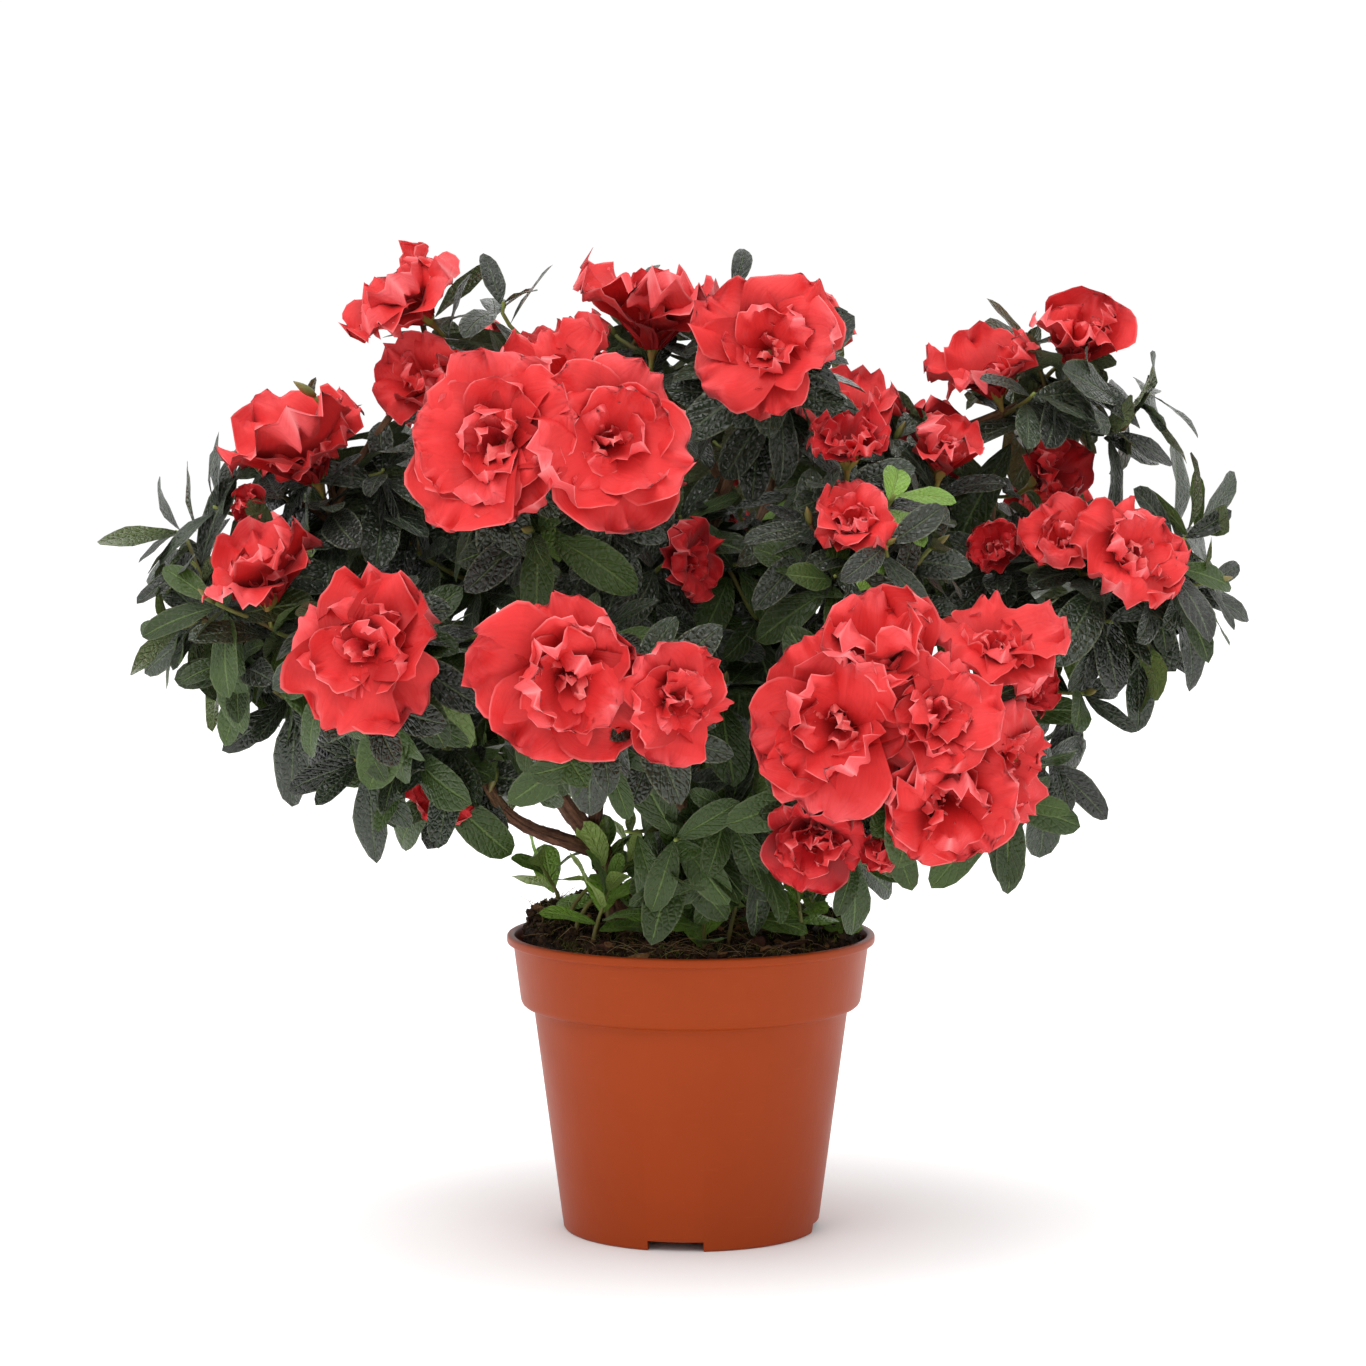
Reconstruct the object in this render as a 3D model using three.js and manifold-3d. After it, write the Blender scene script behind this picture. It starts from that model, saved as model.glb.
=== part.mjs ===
// A florist's azalea in full bloom, standing in a plastic nursery pot.
//
// Millimetres, +Z up. The origin is the centre of the pot's foot, on the surface that it stands on. The crown's
// wide side faces -Y. Every limb, and every mass of leaves and blossom at the limbs' ends, is its own closed solid.

import * as THREE from "three";
import { mergeVertices } from "three/addons/utils/BufferGeometryUtils.js";
import Module from "manifold-3d";

const wasm = await Module();
wasm.setup();

// ---------------------------------------------------------------- driving dimensions

const POT_DIAMETER = 140; // over the lip
const POT_HEIGHT = 113;
const POT_WALL = 1.6;
const FOOT_RADIUS = 48.6; // outside of the foot ring
const FOOT_HEIGHT = 4.4; // how far the pot's floor is raised
const FOOT_RING = 4; // width of the foot ring
const COLLAR_HEIGHT = 26.2; // the wider band under the lip
const NOTCH = { count: 4, width: 21, height: 3.8, turn: THREE.MathUtils.degToRad(-97) };
const DRAIN = { count: 8, radius: 3.5, circle: 34 };

const SOIL_DEPTH_BELOW_LIP = 5; // at the pot's wall
const SOIL_MOUND = 3; // how far the surface rises towards the stems
const GAP = 0.35; // between touching solids

const ROUND_SIDES = 40; // of the pot
const LIMB_SIDES = 8;

// ---------------------------------------------------------------- solids from geometries

/** A three.js geometry as a manifold-3d solid, its shared corners merged. */
function solidFrom(geometry) {
  const bare = geometry.clone();
  bare.deleteAttribute("normal");
  bare.deleteAttribute("uv");
  const merged = mergeVertices(bare, 1e-4);
  const mesh = new wasm.Mesh({
    numProp: 3,
    vertProperties: new Float32Array(merged.getAttribute("position").array),
    triVerts: new Uint32Array(merged.index.array),
  });
  return new wasm.Manifold(mesh);
}

/** A manifold-3d solid as a three.js geometry. */
function geometryFrom(solid) {
  const mesh = solid.getMesh();
  const geometry = new THREE.BufferGeometry();
  geometry.setAttribute("position", new THREE.BufferAttribute(mesh.vertProperties, 3));
  geometry.setIndex(new THREE.BufferAttribute(mesh.triVerts, 1));
  geometry.computeVertexNormals();
  return geometry;
}

/** The one of a solid's separate bodies that scores highest. */
function bestBody(solid, score) {
  return solid.decompose().reduce((best, body) => (score(body) > score(best) ? body : best));
}

/** A geometry turned from three.js' Y-up primitives to Z up. */
const standUp = (geometry) => geometry.rotateX(Math.PI / 2);

/** A repeatable random number generator. */
function seeded(seed) {
  let state = seed >>> 0;
  return () => {
    state = (state + 0x6d2b79f5) >>> 0;
    let t = Math.imul(state ^ (state >>> 15), state | 1);
    t ^= t + Math.imul(t ^ (t >>> 7), t | 61);
    return ((t ^ (t >>> 14)) >>> 0) / 4294967296;
  };
}

/** Smooth bumps in space, about -1 to 1: a sum of plane waves with seeded directions. */
function bumps(seed, wavelength, waves = 7) {
  const random = seeded(seed);
  const list = Array.from({ length: waves }, () => ({
    way: new THREE.Vector3(random() - 0.5, random() - 0.5, random() - 0.5)
      .normalize()
      .multiplyScalar((2 * Math.PI * (0.7 + 0.6 * random())) / wavelength),
    phase: 2 * Math.PI * random(),
  }));
  return (point) =>
    list.reduce((sum, w) => sum + Math.sin(w.way.dot(point) + w.phase), 0) / Math.sqrt(2 * waves);
}

// ---------------------------------------------------------------- pot

const LIP_RADIUS = POT_DIAMETER / 2;
const COLLAR_TOP_RADIUS = LIP_RADIUS - 2.4;
const COLLAR_FOOT_RADIUS = LIP_RADIUS - 5.4;
const BODY_TOP_RADIUS = LIP_RADIUS - 10.2;
const COLLAR_FOOT = POT_HEIGHT - COLLAR_HEIGHT;
const BODY_TOP = COLLAR_FOOT - 2.4;
const LIP_DROP = 3.6;

/** The pot's section: up the outside, over the lip, down the inside and under the raised floor. */
function potProfile() {
  const inner = (radius) => radius - POT_WALL;
  return [
    [0, FOOT_HEIGHT],
    [FOOT_RADIUS - FOOT_RING, FOOT_HEIGHT],
    [FOOT_RADIUS - FOOT_RING, 0],
    [FOOT_RADIUS - 1, 0],
    [FOOT_RADIUS, 1.6],
    [BODY_TOP_RADIUS, BODY_TOP],
    [COLLAR_FOOT_RADIUS - 1.4, COLLAR_FOOT - 1],
    [COLLAR_FOOT_RADIUS, COLLAR_FOOT + 2],
    [COLLAR_TOP_RADIUS, POT_HEIGHT - LIP_DROP],
    [LIP_RADIUS - 0.4, POT_HEIGHT - LIP_DROP + 0.6],
    [LIP_RADIUS, POT_HEIGHT - 1.5],
    [LIP_RADIUS - 0.9, POT_HEIGHT],
    [COLLAR_TOP_RADIUS - 0.6, POT_HEIGHT],
    [inner(COLLAR_TOP_RADIUS), POT_HEIGHT - 1.5],
    [inner(COLLAR_FOOT_RADIUS), COLLAR_FOOT + 2],
    [inner(BODY_TOP_RADIUS), BODY_TOP],
    [inner(FOOT_RADIUS), FOOT_HEIGHT + POT_WALL],
    [0, FOOT_HEIGHT + POT_WALL],
  ].map(([radius, height]) => new THREE.Vector2(radius, height));
}

/** Inside radius of the pot at a height, along its tapering wall. */
function potInside(height) {
  const wall = potProfile().slice(13, 17).reverse();
  const above = wall.findIndex((p) => p.y >= height);
  const [low, high] = [wall[Math.max(above - 1, 0)], wall[Math.max(above, 0)]];
  const share = high.y > low.y ? (height - low.y) / (high.y - low.y) : 0;
  return THREE.MathUtils.lerp(low.x, high.x, share);
}

/** The pot, with drainage notches through its foot ring and drainage holes through its floor. */
function pot() {
  const shell = solidFrom(standUp(new THREE.LatheGeometry(potProfile(), ROUND_SIDES)));
  const cutters = [];
  for (let i = 0; i < NOTCH.count; i++) {
    const notch = new THREE.BoxGeometry(FOOT_RADIUS, NOTCH.width, 2 * NOTCH.height);
    notch.translate(FOOT_RADIUS, 0, 0).rotateZ(NOTCH.turn + (2 * Math.PI * i) / NOTCH.count);
    cutters.push(solidFrom(notch));
  }
  for (let i = 0; i < DRAIN.count; i++) {
    const hole = standUp(new THREE.CylinderGeometry(DRAIN.radius, DRAIN.radius, 6, 12));
    hole.translate(DRAIN.circle, 0, FOOT_HEIGHT + 0.8).rotateZ((2 * Math.PI * (i + 0.5)) / DRAIN.count);
    cutters.push(solidFrom(hole));
  }
  return cutters.reduce((body, cutter) => body.subtract(cutter), shell);
}

// ---------------------------------------------------------------- soil

const SOIL_TOP = POT_HEIGHT - SOIL_DEPTH_BELOW_LIP;
const STEM_FOOT = SOIL_TOP + SOIL_MOUND; // where the stems' flat feet stand
const STEM_FEET = { left: [-24, -4], middle: [3, 9], right: [23, 3] };
const FOOT_PAD = 11; // radius of the level place round each stem

/** The soil's surface height: a lumpy mound that is level under each stem. */
function soilSurface(x, y) {
  const lumps = bumps(11, 16);
  const slow = bumps(12, 45);
  const wall = potInside(SOIL_TOP);
  const across = Math.hypot(x, y) / wall;
  const nearest = Math.min(...Object.values(STEM_FEET).map(([fx, fy]) => Math.hypot(x - fx, y - fy)));
  const level = THREE.MathUtils.smoothstep(nearest, FOOT_PAD, 2 * FOOT_PAD);
  const edge = 1 - THREE.MathUtils.smoothstep(across, 0.82, 1);
  const point = new THREE.Vector3(x, y, 0);
  const rough = 1.5 * slow(point) + 1.1 * lumps(point);
  const mound = SOIL_MOUND * (1 - 0.9 * across * across);
  return THREE.MathUtils.lerp(STEM_FOOT - GAP, SOIL_TOP + mound + rough * (0.4 + 0.6 * edge), level);
}

/** The root ball: the pot's inside, up to the soil's surface. */
function soil() {
  const floor = FOOT_HEIGHT + POT_WALL + GAP;
  const side = [floor, BODY_TOP, COLLAR_FOOT + 2, SOIL_TOP - 3].map(
    (height) => new THREE.Vector2(potInside(height) - GAP, height),
  );
  const topRadius = potInside(SOIL_TOP) - GAP;
  const rings = [1, 0.86, 0.72, 0.58, 0.44, 0.3, 0.15, 0];
  const top = rings.map((share) => new THREE.Vector2(share * topRadius, SOIL_TOP));
  const geometry = standUp(new THREE.LatheGeometry([new THREE.Vector2(0, floor), ...side, ...top], 28));
  const position = geometry.getAttribute("position");
  for (let i = 0; i < position.count; i++) {
    if (position.getZ(i) > SOIL_TOP - 0.5) {
      position.setZ(i, soilSurface(position.getX(i), position.getY(i)));
    }
  }
  return solidFrom(geometry);
}

// ---------------------------------------------------------------- stems and boughs

/**
 * A tapering limb: a cylinder bent along a smooth curve.
 * points are its centreline, thick its radius at the foot, thin at the tip, and flare the foot's extra width.
 */
function limb({ points, thick, thin, flare = 0, grow = 0, flatFoot = false }) {
  const curve = new THREE.CatmullRomCurve3(points.map((p) => new THREE.Vector3(...p)));
  const steps = Math.max(4, Math.round(curve.getLength() / 14));
  const geometry = new THREE.CylinderGeometry(1, 1, 1, LIMB_SIDES, steps);
  const position = geometry.getAttribute("position");
  const up = new THREE.Vector3(0.2, 1, 0.1).normalize();
  for (let i = 0; i < position.count; i++) {
    const along = position.getY(i) + 0.5;
    const centre = curve.getPoint(along);
    const way = flatFoot && along < 1e-6 ? new THREE.Vector3(0, 0, 1) : curve.getTangent(along);
    const sideways = new THREE.Vector3().crossVectors(up, way).normalize();
    const third = new THREE.Vector3().crossVectors(way, sideways);
    const radius = THREE.MathUtils.lerp(thick, thin, along) + flare * Math.exp(-9 * along) + grow;
    centre.addScaledVector(sideways, -position.getX(i) * radius);
    centre.addScaledVector(third, position.getZ(i) * radius);
    position.setXYZ(i, centre.x, centre.y, centre.z);
  }
  return solidFrom(geometry);
}

const foot = (name) => [...STEM_FEET[name], STEM_FOOT];

// Each stem goes from its flat foot to its fork.
const STEMS = {
  stem_left: {
    points: [foot("left"), [-27, -4, 122], [-32, -3, 138], [-38, -2, 153]],
    thick: 5.0,
    thin: 3.9,
    flare: 2.8,
  },
  stem_middle: {
    points: [foot("middle"), [2, 8, 124], [-1, 5, 140], [-3, 6, 160]],
    thick: 4.6,
    thin: 3.4,
    flare: 2.2,
  },
  stem_right: {
    points: [foot("right"), [25, 3, 122], [23, 2, 137], [19, 0, 152]],
    thick: 4.2,
    thin: 3.2,
    flare: 2.2,
  },
};

// Each bough leaves a stem and runs to the middle of the mass that it carries, where it is cut off at the edge.
const BOUGHS = {
  bough_left_low: { from: "stem_left", at: 0.8, to: "left_low", bend: [-8, -3, -6], thick: 2.9 },
  bough_left: { from: "stem_left", at: 0.97, to: "left_middle", bend: [6, 4, 2], thick: 3.2 },
  bough_left_rise: { from: "stem_left", at: 0.96, to: "front_left", bend: [10, 4, -4], thick: 3.1 },
  bough_back_left: { from: "stem_left", at: 0.86, to: "back_left_low", bend: [2, 4, -10], thick: 3.0 },
  bough_front: { from: "stem_middle", at: 0.55, to: "front_skirt", bend: [0, 2, -3], thick: 2.4 },
  bough_core: { from: "stem_middle", at: 0.98, to: "core", bend: [0, 0, 0], thick: 3.2 },
  bough_back: { from: "stem_middle", at: 0.85, to: "back_low", bend: [0, -4, 6], thick: 3.0 },
  bough_right_front: { from: "stem_right", at: 0.95, to: "right_front", bend: [-4, 5, -3], thick: 3.0 },
  bough_right: { from: "stem_right", at: 0.86, to: "right_low", bend: [-6, 2, -8], thick: 3.0 },
  bough_back_right: { from: "stem_right", at: 0.9, to: "back_right_low", bend: [0, 2, -6], thick: 2.8 },
};
const BOUGH_TAPER = 0.72; // a bough's tip radius as a share of its foot's
const CRUMB = 60; // cubic millimetres

// ---------------------------------------------------------------- masses of leaves and blossom

// at is the mass's middle and half its half-sizes. reach lists where shoots and blooms stand out of it:
// a direction, and how far they go past the mass, in millimetres.
const MASSES = {
  // the top, from left to right
  top_left: { at: [-101, 8, 342], half: [25, 34, 29], reach: [[-0.1, 0, 1, 7]] },
  top_middle: { at: [-18, -2, 336], half: [29, 42, 32], reach: [[-0.5, 0, 1, 9], [0.7, 0, 1, 7]] },
  top_right_middle: { at: [27, -42, 328], half: [30, 40, 34], reach: [[-0.4, -0.2, 1, 4], [0.9, -0.2, 0.2, 4]] },
  top_dip: { at: [74, 10, 290], half: [38, 46, 32], reach: [[-0.6, -0.2, 1, 3]] },
  top_right: { at: [126, 4, 316], half: [32, 42, 33], reach: [[0.6, 0, 1, 7], [1, 0, 0, 16], [-0.6, 0, 0.7, 5]] },
  // the front
  left_shoulder: { at: [-128, -4, 290], half: [32, 44, 30], reach: [[-0.6, 0, 0.9, 5], [-1, 0, -0.3, 26]] },
  left_fan: { at: [-153, -30, 231], half: [38, 46, 35], reach: [[-1, 0, 0.3, 24], [-0.9, 0, -0.8, 10]] },
  front_left: { at: [-51, -92, 289], half: [48, 50, 44], reach: [[-0.8, -0.5, 0.2, 2], [0.1, -0.5, -1, 2]] },
  left_middle: { at: [-113, -78, 224], half: [36, 46, 40], reach: [[-0.9, -0.5, 0, 4]] },
  front_middle: { at: [-34, -114, 215], half: [46, 49, 38], reach: [[0, -0.6, -0.9, 2], [1, -0.4, -0.2, 4]] },
  left_low: { at: [-84, -30, 186], half: [38, 42, 26], reach: [[-1, -0.2, -0.3, 11], [-0.2, -0.4, -1, 2]] },
  front_skirt: { at: [2, -56, 160], half: [44, 36, 34], reach: [[-0.3, -0.6, -1, 4], [0.5, -0.4, -1, 2]] },
  right_inside: { at: [60, -70, 264], half: [44, 46, 42], reach: [[0.3, -1, 0.2, 3]] },
  right_fan: { at: [151, -26, 248], half: [31, 46, 35], reach: [[1, 0, -0.05, 32], [0.6, 0, -1, 4], [0.4, 0, 1, 8]] },
  right_front: { at: [74, -98, 202], half: [45, 46, 44], reach: [[0.5, -0.3, -1, 3], [-0.7, -0.7, 0.1, 2]] },
  right_low: { at: [108, -34, 190], half: [30, 44, 34], reach: [[0.9, 0, -0.5, 6], [0.2, 0, -1, 2]] },
  // the middle, which the others hide
  core: { at: [0, -6, 240], half: [60, 56, 52], reach: [] },
  // the back
  back_top_left: { at: [-62, 70, 300], half: [46, 48, 38], reach: [[-0.5, 0.4, 1, 4]] },
  back_top_right: { at: [36, 74, 304], half: [46, 48, 38], reach: [[0.2, 0.5, 1, 5]] },
  back_left: { at: [-124, 62, 238], half: [46, 52, 42], reach: [[-1, 0.4, 0.1, 8], [-0.6, 0.8, -0.5, 5]] },
  back_right: { at: [116, 70, 250], half: [44, 52, 42], reach: [[1, 0.5, 0.1, 8], [0.5, 0.9, 0.5, 5]] },
  back_middle: { at: [-8, 116, 240], half: [54, 45, 44], reach: [[-0.3, 1, 0.2, 5], [0.6, 0.9, -0.2, 4]] },
  back_left_low: { at: [-72, 84, 192], half: [42, 46, 33], reach: [[-0.7, 0.7, -0.6, 7]] },
  back_low: { at: [4, 70, 176], half: [38, 40, 32], reach: [[0, 0.8, -0.8, 4]] },
  back_right_low: { at: [70, 78, 192], half: [40, 46, 35], reach: [[0.8, 0.6, -0.7, 7]] },
};

const UNEVEN = 0.09; // how far a mass's surface swells and dips, as a share of its size
const REACH_SPREAD = 0.11; // how wide a reaching shoot's swelling is
const MASS_DETAIL = 2; // how often the icosahedron's edges are split

/** A mass's distance from its middle to its edge in a direction, before its neighbours cut it. */
function edgeOf({ half }, direction) {
  const [x, y, z] = half;
  return 1 / Math.hypot(direction.x / x, direction.y / y, direction.z / z);
}

/** An uneven closed lobe: an icosahedron pushed out to an ellipsoid, with bumps and reaching shoots. */
function lobe(mass, index) {
  const middle = new THREE.Vector3(...mass.at);
  const geometry = new THREE.IcosahedronGeometry(1, MASS_DETAIL);
  const uneven = bumps(100 + index, 46);
  const shoots = mass.reach.map(([x, y, z, past]) => ({ way: new THREE.Vector3(x, y, z).normalize(), past }));
  const position = geometry.getAttribute("position");
  const direction = new THREE.Vector3();
  for (let i = 0; i < position.count; i++) {
    direction.fromBufferAttribute(position, i).normalize();
    let distance = edgeOf(mass, direction);
    distance *= 1 + UNEVEN * uneven(direction.clone().multiplyScalar(distance).add(middle));
    for (const { way, past } of shoots) {
      distance += past * Math.exp((way.dot(direction) - 1) / REACH_SPREAD);
    }
    direction.multiplyScalar(distance).add(middle);
    position.setXYZ(i, direction.x, direction.y, direction.z);
  }
  return solidFrom(geometry);
}

/** Each mass's lobe, cut flat where it meets its neighbours, so that none overlap. */
function crown() {
  const names = Object.keys(MASSES);
  const cut = names.map((name, i) => {
    const mass = MASSES[name];
    const middle = new THREE.Vector3(...mass.at);
    let solid = lobe(mass, i);
    for (const other of names) {
      if (other === name) continue;
      const towards = new THREE.Vector3(...MASSES[other].at).sub(middle);
      const apart = towards.length();
      towards.divideScalar(apart);
      const mine = edgeOf(mass, towards);
      const theirs = edgeOf(MASSES[other], towards);
      if (apart > 1.45 * (mine + theirs)) continue;
      const seam = (apart * mine) / (mine + theirs);
      const away = towards.clone().negate();
      solid = solid.trimByPlane(away.toArray(), away.dot(middle) - seam + GAP / 2);
    }
    return [name, bestBody(solid, (body) => body.volume())];
  });
  return new Map(cut);
}

/** A solid made a little larger about a point, so that what it cuts keeps a gap to it. */
function enlarged(solid, point, factor) {
  const away = point.map((value) => -value);
  return solid.translate(away).scale([factor, factor, factor]).translate(point);
}

/** Every limb: the stems whole, and the boughs cut where they leave a stem and where they enter a mass. */
function limbs(masses) {
  const cutters = [...masses].map(([name, solid]) => enlarged(solid, MASSES[name].at, 1.02));
  const made = new Map();
  const grown = [];
  for (const [name, stem] of Object.entries(STEMS)) {
    made.set(name, clearOf(limb({ ...stem, flatFoot: true }), [...cutters, ...grown]));
    grown.push(limb({ ...stem, flatFoot: true, grow: GAP }));
  }
  for (const [name, { from, at, to, bend, thick }] of Object.entries(BOUGHS)) {
    const stem = new THREE.CatmullRomCurve3(STEMS[from].points.map((p) => new THREE.Vector3(...p)));
    const start = stem.getPoint(at);
    const end = new THREE.Vector3(...MASSES[to].at);
    const halfway = start.clone().lerp(end, 0.45).add(new THREE.Vector3(...bend));
    const shape = {
      points: [start, halfway, end].map((p) => p.toArray()),
      thick,
      thin: thick * BOUGH_TAPER,
    };
    made.set(name, clearOf(limb(shape), [...cutters, ...grown]));
    grown.push(limb({ ...shape, grow: GAP }));
  }
  return made;
}

/** What is left of a limb outside the cutters: the lowest piece that is longer than a crumb. */
function clearOf(solid, cutters) {
  const left = cutters.reduce((rest, cutter) => rest.subtract(cutter), solid);
  return bestBody(left, (body) => (body.volume() > CRUMB ? -body.boundingBox().min[2] : -Infinity));
}

// ---------------------------------------------------------------- materials

const potPlastic = new THREE.MeshStandardMaterial({ color: 0xa64a2b, roughness: 0.5, metalness: 0 });
const peat = new THREE.MeshStandardMaterial({ color: 0x2b1f18, roughness: 0.95, metalness: 0 });
const bark = new THREE.MeshStandardMaterial({ color: 0x5a3a2c, roughness: 0.85, metalness: 0 });
const leafGreen = new THREE.MeshStandardMaterial({ color: 0x2f3d2c, roughness: 0.7, metalness: 0 });
const petalRed = new THREE.MeshStandardMaterial({ color: 0xd8363a, roughness: 0.6, metalness: 0 });

// The masses that show more blossom than leaf.
const BLOOMING = new Set(["top_left", "top_middle", "top_right_middle", "front_left", "right_front", "front_middle"]);

// ---------------------------------------------------------------- the plant

const plant = new THREE.Group();

/** Adds one named solid. */
function add(name, solid, material) {
  const mesh = new THREE.Mesh(geometryFrom(solid), material);
  mesh.name = name;
  plant.add(mesh);
}

add("pot", pot(), potPlastic);
add("soil", soil(), peat);
const masses = crown();
for (const [name, solid] of limbs(masses)) add(name, solid, bark);
for (const [name, solid] of masses) add(`foliage_${name}`, solid, BLOOMING.has(name) ? petalRed : leafGreen);

export default plant;
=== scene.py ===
"""The looks of a florist's azalea in full bloom, standing in its plastic nursery pot.

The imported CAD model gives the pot, the root ball, the stems and boughs, and one closed mass for each lobe of the
crown. This script dresses them: a smooth pot, crumbly peat, bark with relief, and in place of each mass the twigs,
leaves, buds and double blossoms that grow on from the limbs by a seeded branching rule.

Everything is in metres, in the CAD model's own frame: +Z up, the crown's open front towards -Y.
"""

import logging
import math
import zlib
from dataclasses import dataclass, field
from enum import Enum

import bmesh
import bpy
import numpy as np
from mathutils import Matrix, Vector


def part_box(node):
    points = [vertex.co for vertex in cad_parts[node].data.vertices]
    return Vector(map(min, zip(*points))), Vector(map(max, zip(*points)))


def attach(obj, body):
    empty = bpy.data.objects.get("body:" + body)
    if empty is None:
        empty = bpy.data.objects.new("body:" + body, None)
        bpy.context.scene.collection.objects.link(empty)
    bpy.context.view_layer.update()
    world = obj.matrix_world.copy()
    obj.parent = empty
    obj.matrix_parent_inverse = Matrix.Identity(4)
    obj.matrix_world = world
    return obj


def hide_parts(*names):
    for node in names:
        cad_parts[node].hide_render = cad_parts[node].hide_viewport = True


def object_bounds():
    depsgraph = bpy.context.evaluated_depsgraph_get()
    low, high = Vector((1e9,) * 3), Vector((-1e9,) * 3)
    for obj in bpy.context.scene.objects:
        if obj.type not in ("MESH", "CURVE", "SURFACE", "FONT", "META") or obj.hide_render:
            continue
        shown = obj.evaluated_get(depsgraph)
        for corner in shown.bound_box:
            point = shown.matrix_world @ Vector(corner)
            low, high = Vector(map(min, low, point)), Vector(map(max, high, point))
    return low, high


MM = 0.001
GOLDEN_TURN = math.pi * (3 - math.sqrt(5))
UP = np.array([0.0, 0.0, 1.0])
SEED = 20
BODY = "root"

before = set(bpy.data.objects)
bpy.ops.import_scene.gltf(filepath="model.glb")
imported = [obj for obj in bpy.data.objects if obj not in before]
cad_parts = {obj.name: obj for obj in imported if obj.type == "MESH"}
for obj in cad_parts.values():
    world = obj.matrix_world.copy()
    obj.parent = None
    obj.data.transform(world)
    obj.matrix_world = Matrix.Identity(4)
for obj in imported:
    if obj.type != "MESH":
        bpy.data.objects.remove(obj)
CAD_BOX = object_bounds()
log = logging.getLogger("azalea")


# ------------------------------------------------------------------------------------------------ arrays


def dice(name: str) -> np.random.Generator:
    """A repeatable random number generator of its own for each named purpose."""
    return np.random.default_rng([SEED, zlib.crc32(name.encode())])


def unit(vectors: np.ndarray) -> np.ndarray:
    """Vectors scaled to length 1."""
    return vectors / np.maximum(np.linalg.norm(vectors, axis=-1, keepdims=True), 1e-12)


def square_to(vectors: np.ndarray, axis: np.ndarray) -> np.ndarray:
    """Unit vectors: what is left of some vectors at right angles to some axes."""
    return unit(vectors - (vectors * axis).sum(-1, keepdims=True) * axis)


def smooth(low: float, high: float, value: np.ndarray) -> np.ndarray:
    """A smooth step: 0 below low, 1 above high, and a cubic ease between."""
    share = np.clip((value - low) / (high - low), 0.0, 1.0)
    return share * share * (3 - 2 * share)


def ripples(points: np.ndarray, wavelength: float, name: str, waves: int = 8) -> np.ndarray:
    """Smooth bumps in space, about -1 to 1: a sum of plane waves in seeded directions.

    Args:
        points: places, in metres, in the last axis.
        wavelength: the bumps' usual spacing, in metres.
        name: picks the pattern.
        waves: how many waves are added.

    Returns:
        One height for each place.
    """
    random = dice(name)
    ways = unit(random.normal(size=(waves, 3))) * (2 * math.pi / wavelength)
    ways *= random.uniform(0.7, 1.4, (waves, 1))
    phases = random.uniform(0, 2 * math.pi, waves)
    return np.sin(points @ ways.T + phases).sum(-1) / math.sqrt(2 * waves)


def along_and_across(base: np.ndarray, tip: np.ndarray) -> tuple[np.ndarray, np.ndarray]:
    """Two directions square to the way from base to tip, for a ring round it.

    Args:
        base: where the way starts, in the last axis.
        tip: where it ends.

    Returns:
        The first direction, and the one square to it and to the way.
    """
    way = unit(tip - base)
    steep = np.abs(way @ UP) > 0.8
    reference = np.where(steep[..., None], np.array([1.0, 0.0, 0.0]), UP)
    side = unit(np.cross(reference, way))
    return side, np.cross(way, side)


def tubes(lines: np.ndarray, radii: np.ndarray, sides: int) -> np.ndarray:
    """Closed round tubes: rings carried along centrelines, with both ends drawn together to a point.

    Args:
        lines: centrelines, shaped (tubes, steps, 3).
        radii: shaped (tubes, steps).
        sides: points in each ring.

    Returns:
        A grid shaped (tubes, steps + 2, sides, 3), closed across.
    """
    tangent = unit(np.gradient(lines, axis=1))
    side, _ = along_and_across(lines[:, 0], lines[:, -1])
    side = square_to(np.broadcast_to(side[:, None], tangent.shape), tangent)
    third = np.cross(tangent, side)
    turn = np.linspace(0, 2 * math.pi, sides, endpoint=False)
    ring = np.cos(turn)[:, None] * side[:, :, None] + np.sin(turn)[:, None] * third[:, :, None]
    body = lines[:, :, None] + ring * radii[:, :, None, None]
    start = np.repeat(lines[:, :1, None], sides, axis=2)
    end = np.repeat((lines[:, -1:] + tangent[:, -1:] * radii[:, -1:, None] * 0.6)[:, :, None], sides, axis=2)
    return np.concatenate([start, body, end], axis=1)


def hermite(start: np.ndarray, leave: np.ndarray, end: np.ndarray, arrive: np.ndarray, steps: int) -> np.ndarray:
    """Cubic curves between two points with given end tangents, shaped (curves, steps, 3).

    Args:
        start: first points, shaped (curves, 3).
        leave: tangents there.
        end: last points.
        arrive: tangents there.
        steps: points on each curve.

    Returns:
        The curves' points.
    """
    t = np.linspace(0, 1, steps)[:, None]
    weights = (2 * t**3 - 3 * t**2 + 1, t**3 - 2 * t**2 + t, -2 * t**3 + 3 * t**2, t**3 - t**2)
    parts = (start, leave, end, arrive)
    return sum(weight * part[..., None, :] for weight, part in zip(weights, parts))


# ------------------------------------------------------------------------------------------------ meshes


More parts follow.
